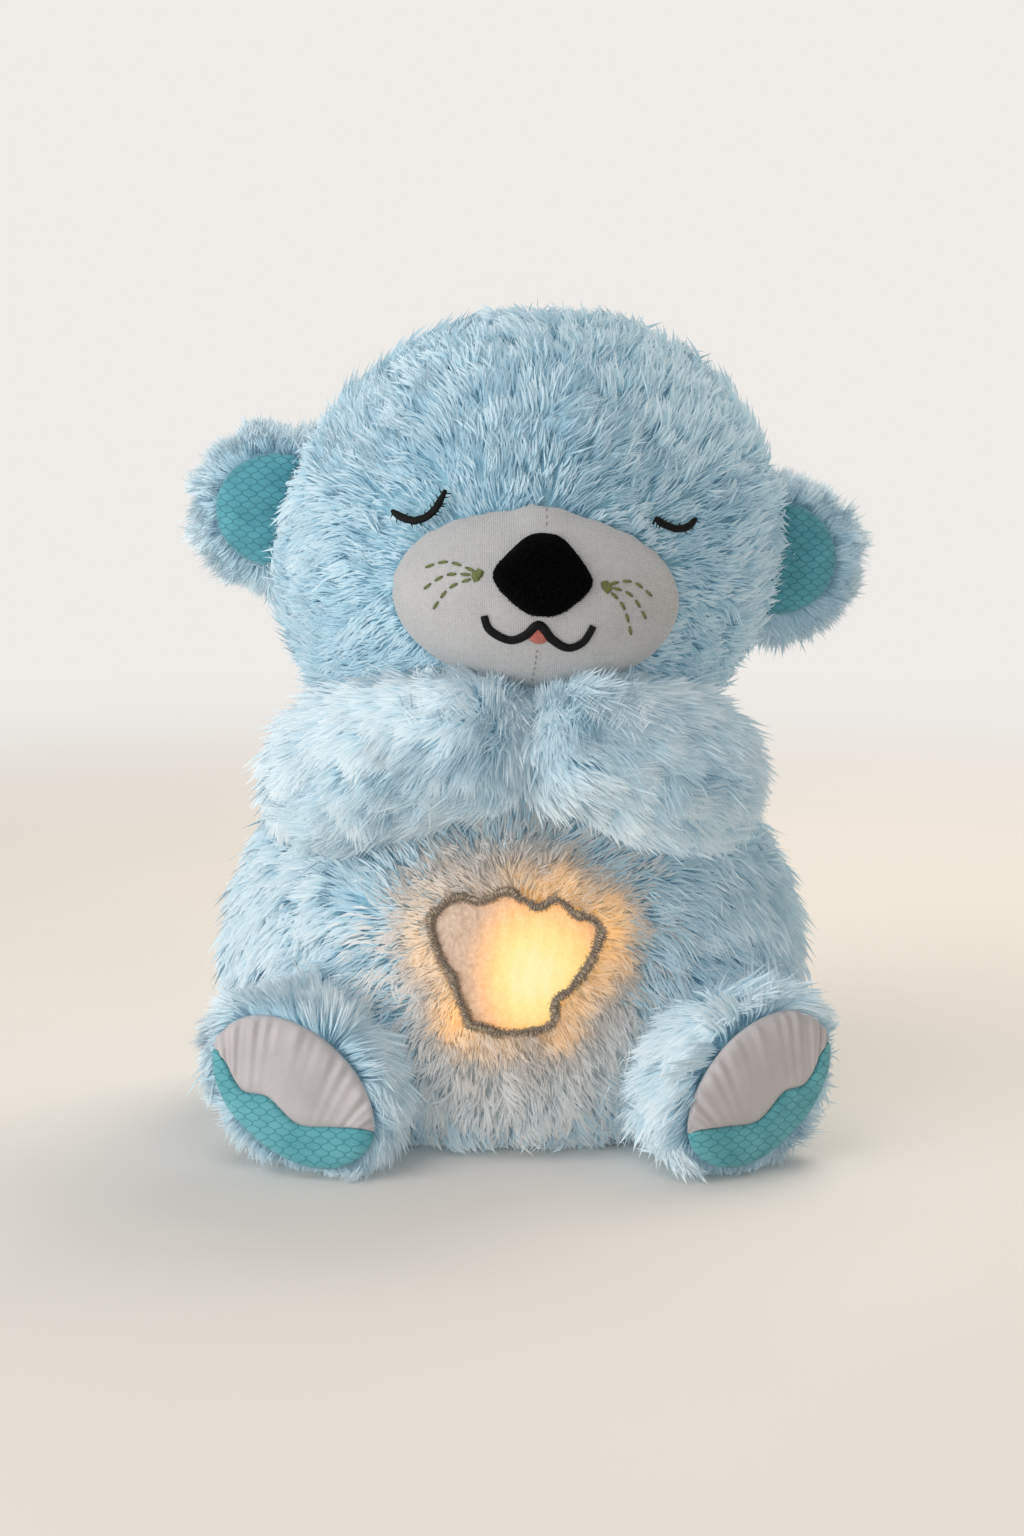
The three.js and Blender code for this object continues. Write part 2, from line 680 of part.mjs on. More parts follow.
// Turns a shape made in a limb's own frame about an upright axis, then sets it at its place
function placed(shape, place, degrees) {
  const matrix = new THREE.Matrix4().makeRotationZ(THREE.MathUtils.degToRad(degrees));
  matrix.setPosition(place);
  return moved(shape, matrix);
}

// A neighbour as a limb meets it while the limb turns about an upright axis through its joint
function sweptPast(neighbour, place, degrees) {
  const swept = [];
  for (let step = 0; step <= SWEEP_STEPS; step++) {
    const turn = THREE.MathUtils.degToRad((degrees * step) / SWEEP_STEPS);
    const matrix = new THREE.Matrix4().makeTranslation(place.x, place.y, place.z)
      .multiply(new THREE.Matrix4().makeRotationZ(-turn))
      .multiply(new THREE.Matrix4().makeTranslation(-place.x, -place.y, -place.z));
    swept.push(moved(neighbour, matrix));
  }
  return swept;
}

// Torso, head and muzzle as plain bodies, before their neighbours cut them
const pear = torsoForm();
const atNeck = new THREE.Matrix4().setPosition(neckMiddle);
const neckBall = (growth) => moved(ball(NECK_RADIUS + growth, NECK_SIDES), atNeck);
const torsoBody = (growth) => solid(swollen(pear, growth)).add(neckBall(growth));
const headForm = ellipsoid(HEAD_HALF_WIDTH, HEAD_HALF_DEPTH, HEAD_HALF_HEIGHT, BODY_SIDES);
headForm.applyMatrix4(new THREE.Matrix4().makeShear(0, 0, 0, 0, HEAD_SLANT, 0));
const toWorld = headTurn.matrixWorld;
const toHead = toWorld.clone().invert();

const muzzleMiddleZ = -MUZZLE_DROP_SHARE * HEAD_HALF_HEIGHT;
function muzzleBody() {
  const main = ellipsoid(MUZZLE_HALF_WIDTH, MUZZLE_DEPTH, MUZZLE_HALF_HEIGHT, BODY_SIDES);
  const bridge = ellipsoid(
    MUZZLE_HALF_WIDTH * BRIDGE_WIDTH_SHARE,
    MUZZLE_DEPTH * BRIDGE_DEPTH_SHARE,
    MUZZLE_HALF_HEIGHT * BRIDGE_HEIGHT_SHARE,
    SMALL_SIDES,
  );
  bridge.translate(0, 0, MUZZLE_HALF_HEIGHT * BRIDGE_LIFT_SHARE);
  const both = solid(main).add(solid(bridge));
  const place = new THREE.Vector3(0, -MUZZLE_FORWARD_SHARE * HEAD_HALF_DEPTH, muzzleMiddleZ);
  return moved(both, new THREE.Matrix4().setPosition(place));
}

const muzzleWhole = muzzleBody();
const muzzleForm = geometryOf(muzzleWhole);

// Window seen from the front, grown or shrunk by a margin
const windowZ = WINDOW_RISE_SHARE * TORSO_HEIGHT;
function windowOutline(margin) {
  const points = scaledPoints(
    WINDOW_OUTLINE_SHARES,
    WINDOW_HALF_WIDTH + margin,
    WINDOW_HALF_HEIGHT + margin,
    WINDOW_X,
    windowZ,
  );
  return smoothLoop(points, WINDOW_STEPS_PER_POINT);
}

// The light module stands behind the window and is as wide as its battery bay asks
const bayHalfLength = BATTERY_LENGTH / 2 + CONTACT_THICKNESS + 2 * SEWN_GAP;
const moduleHalfWidth = bayHalfLength + COVER_LEDGE + MODULE_SIDE_MARGIN;
const windowFront = frontOf(pear, WINDOW_X, windowZ).y;
const moduleFront = windowFront + MODULE_SET_BACK;
const moduleDepth = MODULE_FRONT_DEPTH + MODULE_REAR_DEPTH;
const pocket = {
  left: WINDOW_X - moduleHalfWidth - POCKET_GAP,
  right: WINDOW_X + moduleHalfWidth + POCKET_GAP,
  front: moduleFront - POCKET_GAP,
  back: moduleFront + moduleDepth + POCKET_GAP,
  top: windowZ + MODULE_ABOVE_AXIS + POCKET_GAP,
};

// The flap lies in a recess of the base; its back edge is the hinge
const flap = {
  left: pocket.left - FLAP_MARGIN,
  right: pocket.right + FLAP_MARGIN,
  front: pocket.front - FLAP_TONGUE,
  hingeY: pocket.back + FLAP_MARGIN,
  hingeZ: SEWN_GAP + FLAP_THICKNESS / 2,
  low: SEWN_GAP,
  high: SEWN_GAP + FLAP_THICKNESS,
};
const strip = {
  left: WINDOW_X - STRIP_LENGTH / 2,
  right: WINDOW_X + STRIP_LENGTH / 2,
  front: flap.front + (FLAP_TONGUE - STRIP_WIDTH) / 2,
  hookLow: flap.high + SEWN_GAP,
  loopLow: flap.high + STRIP_THICKNESS + 2 * SEWN_GAP,
};

function pocketCutters() {
  const pocketHollow = box(
    new THREE.Vector3(pocket.left, pocket.front, -CUT_OVERRUN),
    new THREE.Vector3(pocket.right, pocket.back, pocket.top),
  );
  const flapBack = flap.hingeY + FLAP_THICKNESS / 2 + SEWN_GAP;
  const flapRecess = box(
    new THREE.Vector3(flap.left - SEWN_GAP, flap.front - SEWN_GAP, -CUT_OVERRUN),
    new THREE.Vector3(flap.right + SEWN_GAP, flapBack, flap.high + SEWN_GAP),
  );
  const stripTop = strip.loopLow + STRIP_THICKNESS + SEWN_GAP;
  const stripRecess = box(
    new THREE.Vector3(strip.left - SEWN_GAP, strip.front - SEWN_GAP, -CUT_OVERRUN),
    new THREE.Vector3(strip.right + SEWN_GAP, pocket.front + SEWN_GAP, stripTop),
  );
  const holeFront = windowFront - CUT_OVERRUN;
  const windowHole = prism(windowOutline(-WINDOW_RIM), holeFront, moduleFront);
  const domeHole = rod(DOME_RADIUS + DOME_SLEEVE_GAP, holeFront, moduleFront, WINDOW_X, windowZ, BODY_SIDES);
  return [pocketHollow, flapRecess, stripRecess, windowHole, domeHole];
}

function addTorso() {
  const sockets = SIDES.flatMap((side) => [
    placed(ball(SHOULDER_RADIUS + SOCKET_GAP, LIMB_SIDES), shoulderPlace(side), 0),
    placed(ball(HIP_RADIUS + SOCKET_GAP, LIMB_SIDES), hipPlace(side), 0),
  ]);
  const torso = without(torsoBody(0), [belowFloor(), ...sockets, ...pocketCutters()]);
  addPiece(toy, 'torso', torso, finish(FUR_BLUE, FABRIC_ROUGHNESS));
}

function addTail() {
  const tail = without(solid(tailForm()), [torsoBody(SEWN_GAP), belowFloor()]);
  addPiece(toy, 'tail', tail, finish(FUR_BLUE, FABRIC_ROUGHNESS));
}

function addBelly() {
  const patchOutline = ovalOutline(
    BELLY_PATCH_HALF_WIDTH,
    BELLY_PATCH_HEIGHT_SHARE * TORSO_HEIGHT,
    BELLY_PATCH_X,
    BELLY_PATCH_RISE_SHARE * TORSO_HEIGHT,
    BODY_SIDES,
  );
  const hole = prism(windowOutline(SEWN_GAP), windowFront - CUT_OVERRUN * 2, 0);
  const patch = layer(pear, patchOutline, BELLY_PATCH_STAND, BELLY_DEPTH).subtract(hole);
  addPiece(toy, 'belly_patch', patch, finish(FUR_PALE, FABRIC_ROUGHNESS));
  const panel = layer(pear, windowOutline(0), WINDOW_STAND, BELLY_DEPTH);
  addPiece(toy, 'window_panel', panel, finish(WINDOW_GLOW, FABRIC_ROUGHNESS));
  const rise = SEWN_GAP * 2 + WINDOW_STAND + BORDER_RADIUS;
  const cordLine = windowOutline(0).map((p) => frontOf(pear, p.x, p.y, rise));
  const cord = solid(loopTube(cordLine, BORDER_RADIUS, BORDER_SIDES));
  addPiece(toy, 'window_border', cord, finish(CORD_GREY, FABRIC_ROUGHNESS));
}

// Head and face, in the head's own frame
function addHead() {
  const neckSeat = moved(neckBall(NECK_GAP), toHead);
  const axis = new THREE.Vector3(1, 0, 0).transformDirection(toWorld);
  const shoulders = [];
  for (let step = 0; step <= SWEEP_STEPS; step++) {
    const nod = THREE.MathUtils.degToRad((NOD_DEGREES * step) / SWEEP_STEPS);
    const turn = new THREE.Matrix4().makeTranslation(neckMiddle.x, neckMiddle.y, neckMiddle.z)
      .multiply(new THREE.Matrix4().makeRotationAxis(axis, nod))
      .multiply(new THREE.Matrix4().makeTranslation(-neckMiddle.x, -neckMiddle.y, -neckMiddle.z));
    shoulders.push(moved(solid(swollen(pear, SEWN_GAP)), toHead.clone().multiply(turn)));
  }
  const head = without(solid(headForm), [neckSeat, ...shoulders]);
  addPiece(headTurn, 'head', head, finish(FUR_BLUE, FABRIC_ROUGHNESS));
}

function addMuzzle() {
  const grownHead = solid(swollen(headForm, SEWN_GAP));
  addPiece(headTurn, 'muzzle', muzzleWhole.subtract(grownHead), finish(KNIT_WHITE, FABRIC_ROUGHNESS));
  const nosePoints = scaledPoints(
    NOSE_OUTLINE_SHARES, NOSE_HALF_WIDTH, NOSE_HALF_HEIGHT, 0, muzzleMiddleZ + NOSE_LIFT,
  );
  const noseOutline = smoothLoop(nosePoints, NOSE_STEPS_PER_POINT);
  const nose = layer(muzzleForm, noseOutline, NOSE_STAND, MUZZLE_DEPTH);
  addPiece(headTurn, 'nose', nose, finish(VELVET_BLACK, FABRIC_ROUGHNESS));
  const smileZ = muzzleMiddleZ - SMILE_DROP;
  const smileLine = scaledPoints(SMILE_SHARES, SMILE_HALF_WIDTH, SMILE_HALF_HEIGHT, 0, smileZ);
  const smile = layer(muzzleForm, strokeOutline(smileLine, SMILE_STROKE), SMILE_STAND, MUZZLE_DEPTH);
  addPiece(headTurn, 'smile', smile, finish(THREAD_BLACK, FABRIC_ROUGHNESS));
  const tongueZ = smileZ - TONGUE_DROP;
  const tongueOutline = ovalOutline(TONGUE_HALF_WIDTH, TONGUE_HALF_LENGTH, 0, tongueZ, SMALL_SIDES);
  const reach = -HEAD_HALF_DEPTH - MUZZLE_DEPTH;
  const smileCutter = prism(strokeOutline(smileLine, SMILE_STROKE + 2 * SEWN_GAP), reach, 0);
  const tongue = layer(muzzleForm, tongueOutline, TONGUE_STAND, MUZZLE_DEPTH).subtract(smileCutter);
  addPiece(headTurn, 'tongue', tongue, finish(TONGUE_RED, FABRIC_ROUGHNESS));
}

function addEyelid(name, shares, halfWidth, halfHeight, x, lift) {
  const line = scaledPoints(shares, halfWidth, halfHeight, x, lift);
  const lid = layer(headForm, strokeOutline(line, EYE_STROKE), EYE_STAND, HEAD_HALF_DEPTH);
  addPiece(headTurn, name, lid, finish(THREAD_BLACK, FABRIC_ROUGHNESS));
}

function addEar(side, name, liftShare) {
  const form = ellipsoid(EAR_HALF_WIDTH, EAR_HALF_DEPTH, EAR_HALF_HEIGHT, LIMB_SIDES);
  form.translate(side * EAR_OUT_SHARE * HEAD_HALF_WIDTH, EAR_BACK, liftShare * HEAD_HALF_HEIGHT);
  const grownHead = solid(swollen(headForm, SEWN_GAP));
  addPiece(headTurn, `ear_${name}`, solid(form).subtract(grownHead), finish(FUR_BLUE, FABRIC_ROUGHNESS));
  const lining = ovalOutline(
    EAR_HALF_WIDTH * INNER_EAR_SHARE,
    EAR_HALF_HEIGHT * INNER_EAR_SHARE,
    side * EAR_OUT_SHARE * HEAD_HALF_WIDTH,
    liftShare * HEAD_HALF_HEIGHT,
    SMALL_SIDES,
  );
  const inner = layer(form, lining, INNER_EAR_STAND, EAR_HALF_DEPTH).subtract(grownHead);
  addPiece(headTurn, `inner_ear_${name}`, inner, finish(PRINT_TEAL, FABRIC_ROUGHNESS));
}

function addArm(side, name) {
  const place = shoulderPlace(side);
  const pawX = PAW_MEET_X + side * (PAW_TIP + SEWN_GAP) - place.x;
  const sleeve = placed(solid(armForm(side, pawX)), place, 0);
  const otherPaw = box(
    new THREE.Vector3(side < 0 ? PAW_MEET_X - SEWN_GAP / 2 : -FAR, -FAR, -FAR),
    new THREE.Vector3(side < 0 ? FAR : PAW_MEET_X + SEWN_GAP / 2, FAR, FAR),
  );
  const grownHead = moved(solid(swollen(headForm, SEWN_GAP)), toWorld);
  const grownMuzzle = moved(solid(swollen(muzzleForm, SEWN_GAP)), toWorld);
  const swing = side * ARM_SWING_DEGREES;
  const sleeveCuts = [...sweptPast(torsoBody(SEWN_GAP), place, swing), otherPaw];
  const headCuts = [...sweptPast(grownHead, place, swing), ...sweptPast(grownMuzzle, place, swing)];
  const shoulder = placed(ball(SHOULDER_RADIUS, LIMB_SIDES), place, 0);
  const arm = without(without(sleeve, sleeveCuts).add(shoulder), headCuts);
  addLimb(`arm_${name}`, arm, place, 0, finish(FUR_BLUE, FABRIC_ROUGHNESS));
}

// A limb's mesh hangs in a group at its joint, so its shape goes back to the joint's frame
function addLimb(name, shape, place, degrees, material) {
  const joint = new THREE.Group();
  joint.position.copy(place);
  joint.rotation.z = THREE.MathUtils.degToRad(degrees);
  joint.updateMatrix();
  toy.add(joint);
  addPiece(joint, name, moved(shape, joint.matrix.clone().invert()), material);
}

function addLeg(side, name, toeOutDegrees) {
  const place = hipPlace(side);
  const degrees = side * toeOutDegrees;
  const form = legForm(side);
  const torsoCuts = sweptPast(torsoBody(SEWN_GAP), place, side * LEG_SPLAY_DEGREES);
  const shin = without(placed(solid(form), place, degrees), torsoCuts);
  const leg = shin.add(placed(ball(HIP_RADIUS, LIMB_SIDES), place, 0)).subtract(belowFloor());
  addLimb(`leg_${name}`, leg, place, degrees, finish(FUR_BLUE, FABRIC_ROUGHNESS));
  const oval = soleOutline(side, ovalOutline(1, 1, 0, 0, BODY_SIDES));
  const sole = placed(layer(form, oval, SOLE_STAND, SOLE_DEPTH), place, degrees);
  const reach = -LEG_LENGTH - CUT_OVERRUN;
  SOLE_HALVES.forEach(([half, sign, color, roughness]) => {
    const halfGap = (sign * SEWN_GAP) / 2 / SOLE_SHORT_RADIUS;
    const seam = SOLE_SEAM_SHARES.map(([s, t]) => new THREE.Vector2(s, t + halfGap));
    const edge = new THREE.SplineCurve(seam).getPoints(SOLE_SEAM_SHARES.length * SOLE_STEPS_PER_POINT);
    const outer = sign * SOLE_CUTTER_SHARE;
    const corners = [new THREE.Vector2(seam.at(-1).x, outer), new THREE.Vector2(seam[0].x, outer)];
    const cutter = placed(prism(soleOutline(side, [...edge, ...corners]), reach, 0), place, degrees);
    const piece = sole.intersect(cutter).subtract(belowFloor());
    addLimb(`sole_${half}_${name}`, piece, place, degrees, finish(color, roughness));
  });
}

// Points in shares of the sole's long and short radius, leaned as the foot is
function soleOutline(side, shares) {
  const lean = THREE.MathUtils.degToRad(FOOT_LEAN_DEGREES);
  return shares.map(({ x, y }) => {
    const long = x * SOLE_LONG_RADIUS;
    const short = y * SOLE_SHORT_RADIUS;
    const across = long * Math.cos(lean) + short * Math.sin(lean);
    return new THREE.Vector2(-side * across, short * Math.cos(lean) - long * Math.sin(lean));
  });
}

// Light module, in its own frame: y = 0 at the housing's front face, z = 0 on the dome's axis
const moduleGroup = new THREE.Group();
moduleGroup.position.set(WINDOW_X, moduleFront, windowZ);
toy.add(moduleGroup);

const housing = {
  left: -moduleHalfWidth,
  right: moduleHalfWidth,
  low: MODULE_FLOOR_RISE - windowZ,
  high: MODULE_ABOVE_AXIS,
};
const bay = {
  left: -bayHalfLength,
  right: bayHalfLength,
  low: housing.low + BAY_BOTTOM_RISE,
  high: housing.low + BAY_BOTTOM_RISE + BATTERY_COUNT * BATTERY_PITCH + BAY_GAP,
  floor: moduleDepth - COVER_THICKNESS - BATTERY_DIAMETER - 2 * BAY_GAP,
};
const coverSeat = {
  left: bay.left - COVER_LEDGE,
  right: bay.right + COVER_LEDGE,
  low: bay.low - COVER_LEDGE,
  high: bay.high + COVER_LEDGE + COVER_TAB,
};
const coverScrewZ = bay.high + (COVER_LEDGE + COVER_TAB) / 2;
const dome = {
  flangeFront: MODULE_WALL + SEWN_GAP,
  flangeBack: MODULE_WALL + SEWN_GAP + DOME_FLANGE,
  tip: DOME_WINDOW_GAP - MODULE_SET_BACK,
};
const pressedBack = dome.flangeBack + DOME_TRAVEL + SEWN_GAP;
const bossPlaces = SIDES.flatMap((side) => [
  [side * (moduleHalfWidth - BOSS_INSET), housing.low + BOSS_INSET],
  [side * (moduleHalfWidth - BOSS_INSET), housing.high - BOSS_INSET],
]);

// Rectangle with round corners seen from the front
function roundedOutline(area, margin, radius) {
  const corners = [
    [area.right - margin - radius, area.high - margin - radius, 0],
    [area.left + margin + radius, area.high - margin - radius, 1],
    [area.left + margin + radius, area.low + margin + radius, 2],
    [area.right - margin - radius, area.low + margin + radius, 3],
  ];
  return corners.flatMap(([x, z, quarter]) => Array.from({ length: MODULE_CORNER_STEPS + 1 }, (_, step) => {
    const angle = (Math.PI / 2) * (quarter + step / MODULE_CORNER_STEPS);
    return new THREE.Vector2(x + radius * Math.cos(angle), z + radius * Math.sin(angle));
  }));
}

// Slot for the slide switch in the lower wall of the front shell
const knob = {
  left: SWITCH_X,
  right: SWITCH_X + SWITCH_KNOB_LENGTH,
  front: (MODULE_FRONT_DEPTH - SWITCH_KNOB_WIDTH) / 2,
  back: (MODULE_FRONT_DEPTH + SWITCH_KNOB_WIDTH) / 2,
};

function addFrontShell() {
  const outer = prism(roundedOutline(housing, 0, MODULE_CORNER), 0, MODULE_FRONT_DEPTH);
  const cavityRadius = MODULE_CORNER - MODULE_WALL;
  const cavity = prism(
    roundedOutline(housing, MODULE_WALL, cavityRadius), MODULE_WALL, MODULE_FRONT_DEPTH + CUT_OVERRUN,
  );
  const guide = rod(DOME_RADIUS + DOME_GUIDE_GAP, -CUT_OVERRUN, MODULE_WALL * 2, 0, 0, BODY_SIDES);
  const slotRight = knob.right + SWITCH_TRAVEL + SEWN_GAP;
  const switchSlot = box(
    new THREE.Vector3(knob.left - SEWN_GAP, knob.front - SEWN_GAP, housing.low - CUT_OVERRUN),
    new THREE.Vector3(slotRight, knob.back + SEWN_GAP, housing.low + MODULE_WALL * 2),
  );
  const posts = boardCorners().map(([x, z]) => (
    rod(BOARD_POST_RADIUS, MODULE_WALL / 2, BOARD_BACK - SEWN_GAP, x, z, SCREW_SIDES)
  ));
  const bosses = bossPlaces.map(([x, z]) => (
    rod(BOSS_RADIUS, MODULE_WALL / 2, MODULE_FRONT_DEPTH, x, z, SCREW_SIDES)
  ));
  const holeBottom = MODULE_FRONT_DEPTH - SCREW_LENGTH;
  const holes = bossPlaces.map(([x, z]) => (
    rod(SCREW_RADIUS + SEWN_GAP, holeBottom, MODULE_FRONT_DEPTH + CUT_OVERRUN, x, z, SCREW_SIDES)
  ));
  const shell = without(outer, [cavity, guide, switchSlot]);
  const piece = without(joined([shell, ...posts, ...bosses]), holes);
  addPiece(moduleGroup, 'module_front_shell', piece, finish(PLASTIC_WHITE, PLASTIC_ROUGHNESS));
}

function addRearShell() {
  const front = MODULE_FRONT_DEPTH + SEWN_GAP;
  const outer = prism(roundedOutline(housing, 0, MODULE_CORNER), front, moduleDepth);
  const cavityRadius = MODULE_CORNER - MODULE_WALL;
  const cavity = prism(
    roundedOutline(housing, MODULE_WALL, cavityRadius), front - CUT_OVERRUN, moduleDepth - MODULE_WALL,
  );
  const bayBlock = box(
    new THREE.Vector3(coverSeat.left, bay.floor - BAY_WALL, coverSeat.low),
    new THREE.Vector3(coverSeat.right, moduleDepth, coverSeat.high),
  );
  const bosses = bossPlaces.map(([x, z]) => rod(BOSS_RADIUS, front, moduleDepth, x, z, SCREW_SIDES));
  const bayHollow = box(
    new THREE.Vector3(bay.left, bay.floor, bay.low),
    new THREE.Vector3(bay.right, moduleDepth + CUT_OVERRUN, bay.high),
  );
  const recessFloor = moduleDepth - COVER_THICKNESS - SEWN_GAP;
  const coverRecess = box(
    new THREE.Vector3(coverSeat.left + SEWN_GAP, recessFloor, coverSeat.low + SEWN_GAP),
    new THREE.Vector3(coverSeat.right - SEWN_GAP, moduleDepth + CUT_OVERRUN, coverSeat.high - SEWN_GAP),
  );
  const coverHoleBottom = moduleDepth - SCREW_LENGTH - 2 * SCREW_HEAD;
  const coverHole = rod(SCREW_RADIUS + SEWN_GAP, coverHoleBottom, moduleDepth, 0, coverScrewZ, SCREW_SIDES);
  const wellRadius = SCREW_HEAD_RADIUS + SEWN_GAP;
  const headWells = bossPlaces.map(([x, z]) => (
    rod(wellRadius, front + BOSS_FLOOR, moduleDepth + CUT_OVERRUN, x, z, SCREW_SIDES)
  ));
  const shankHoles = bossPlaces.map(([x, z]) => (
    rod(SCREW_RADIUS + SEWN_GAP, front - CUT_OVERRUN, moduleDepth, x, z, SCREW_SIDES)
  ));
  const shell = joined([outer.subtract(cavity), bayBlock, ...bosses]);
  const piece = without(shell, [bayHollow, coverRecess, coverHole, ...headWells, ...shankHoles]);
  addPiece(moduleGroup, 'module_rear_shell', piece, finish(PLASTIC_WHITE, PLASTIC_ROUGHNESS));
}

// Screw along Y with its head to the rear and a straight slot
function screwAt(x, z, headFront) {
  const shank = rod(SCREW_RADIUS, headFront - SCREW_LENGTH, headFront + SCREW_HEAD / 2, x, z, SCREW_SIDES);
  const head = rod(SCREW_HEAD_RADIUS, headFront, headFront + SCREW_HEAD, x, z, SCREW_SIDES);
  const slot = box(
    new THREE.Vector3(x - SCREW_HEAD_RADIUS * 2, headFront + SCREW_HEAD / 2, z - SCREW_SLOT / 2),
    new THREE.Vector3(x + SCREW_HEAD_RADIUS * 2, headFront + SCREW_HEAD * 2, z + SCREW_SLOT / 2),
  );
  return shank.add(head).subtract(slot);
}

function addScrews() {
  const headFront = MODULE_FRONT_DEPTH + SEWN_GAP + BOSS_FLOOR + SEWN_GAP;
  bossPlaces.forEach(([x, z], i) => {
    const screw = screwAt(x, z, headFront);
    addPiece(moduleGroup, `shell_screw_${i + 1}`, screw, finish(STEEL, METAL_ROUGHNESS, 1));
  });
  const coverHead = moduleDepth - SCREW_HEAD - COVER_GROOVE / 2;
  addPiece(moduleGroup, 'cover_screw', screwAt(0, coverScrewZ, coverHead), finish(STEEL, METAL_ROUGHNESS, 1));
}

// Cover plate with grip grooves and a sunk hole for its screw
function addBatteryCover() {
  const inset = 2 * SEWN_GAP;
  const plate = box(
    new THREE.Vector3(coverSeat.left + inset, moduleDepth - COVER_THICKNESS, coverSeat.low + inset),
    new THREE.Vector3(coverSeat.right - inset, moduleDepth, coverSeat.high - inset),
  );
  const grooves = Array.from({ length: COVER_GROOVE_COUNT }, (_, i) => {
    const z = bay.low + BATTERY_PITCH / 2 + i * COVER_GROOVE_PITCH;
    return box(
      new THREE.Vector3(-COVER_GROOVE_LENGTH / 2, moduleDepth - COVER_GROOVE, z),
      new THREE.Vector3(COVER_GROOVE_LENGTH / 2, moduleDepth + CUT_OVERRUN, z + COVER_GROOVE),
    );
  });
  const above = moduleDepth + CUT_OVERRUN;
  const wellFloor = moduleDepth - SCREW_HEAD - COVER_GROOVE / 2 - SEWN_GAP;
  const hole = rod(SCREW_RADIUS + SEWN_GAP, -CUT_OVERRUN, above, 0, coverScrewZ, SCREW_SIDES);
  const well = rod(SCREW_HEAD_RADIUS + SEWN_GAP, wellFloor, above, 0, coverScrewZ, SCREW_SIDES);
  const cover = without(plate, [...grooves, hole, well]);
  addPiece(moduleGroup, 'battery_cover', cover, finish(PLASTIC_WHITE, PLASTIC_ROUGHNESS));
}

function batteryZ(i) {
  return bay.low + (BAY_GAP + BATTERY_PITCH) / 2 + i * BATTERY_PITCH;
}

function addBatteries() {
  const y = bay.floor + BAY_GAP + BATTERY_DIAMETER / 2;
  const bodyLength = BATTERY_LENGTH - BATTERY_NUB;
  for (let i = 0; i < BATTERY_COUNT; i++) {
    const profile = [
      [0, -BATTERY_LENGTH / 2],
      [BATTERY_DIAMETER / 2, -BATTERY_LENGTH / 2],
      [BATTERY_DIAMETER / 2, -BATTERY_LENGTH / 2 + bodyLength],
      [BATTERY_NUB_RADIUS, -BATTERY_LENGTH / 2 + bodyLength],
      [BATTERY_NUB_RADIUS, BATTERY_LENGTH / 2],
      [0, BATTERY_LENGTH / 2],
    ];
    const turn = new THREE.Matrix4().makeRotationZ(i % 2 ? Math.PI / 2 : -Math.PI / 2);
    turn.setPosition(0, y, batteryZ(i));
    const battery = moved(turned(profile, SMALL_SIDES), turn);
    addPiece(moduleGroup, `battery_${i + 1}`, battery, finish(BATTERY_GREY, PLASTIC_ROUGHNESS));
  }
}

// Contact plates that join the batteries in series: a single and a double one at each end
function addContacts() {
  const y = bay.floor + BAY_GAP + BATTERY_DIAMETER / 2;
  SIDES.forEach((side, end) => {
    const inner = side * (BATTERY_LENGTH / 2 + SEWN_GAP);
    const outer = side * (BATTERY_LENGTH / 2 + SEWN_GAP + CONTACT_THICKNESS);
    const last = BATTERY_COUNT - 1;
    const runs = end === 0 ? [[0, 0], [1, last]] : [[0, last - 1], [last, last]];
    runs.forEach(([lower, upper], i) => {
      const plate = box(
        new THREE.Vector3(Math.min(inner, outer), y - CONTACT_WIDTH / 2, batteryZ(lower) - CONTACT_WIDTH / 2),
        new THREE.Vector3(Math.max(inner, outer), y + CONTACT_WIDTH / 2, batteryZ(upper) + CONTACT_WIDTH / 2),
      );
      addPiece(moduleGroup, `contact_${end * 2 + i + 1}`, plate, finish(STEEL, METAL_ROUGHNESS, 1));
    });
  });
}

// Hollow frosted dome with a flange that the front shell holds back
function addDome() {
  const outerCurve = [];
  const innerCurve = [];
  for (let i = 0; i <= DOME_STEPS; i++) {
    const angle = (Math.PI / 2) * (i / DOME_STEPS);
    const crown = DOME_CROWN * Math.sin(angle);
    outerCurve.push([DOME_RADIUS * Math.cos(angle), dome.tip + DOME_CROWN - crown]);
    const innerY = dome.tip + DOME_WALL + DOME_CROWN - crown;
    innerCurve.unshift([(DOME_RADIUS - DOME_WALL) * Math.cos(angle), innerY]);
  }
  outerCurve.at(-1)[0] = 0;
  innerCurve[0][0] = 0;
  const profile = [
    ...innerCurve,
    [DOME_RADIUS - DOME_WALL, dome.flangeBack],
    [DOME_FLANGE_RADIUS, dome.flangeBack],
    [DOME_FLANGE_RADIUS, dome.flangeFront],
    [DOME_RADIUS, dome.flangeFront],
    ...outerCurve,
  ];
  addPiece(moduleGroup, 'light_dome', turned(profile, LIMB_SIDES), finish(FROSTED, PLASTIC_ROUGHNESS));
}

function boardCorners() {
  const halfWidth = BOARD_WIDTH / 2 - BOARD_POST_INSET_ACROSS;
  const halfHeight = BOARD_HEIGHT / 2 - BOARD_POST_INSET_UP;
  return SIDES.flatMap((across) => SIDES.map((up) => [across * halfWidth, up * halfHeight]));
}

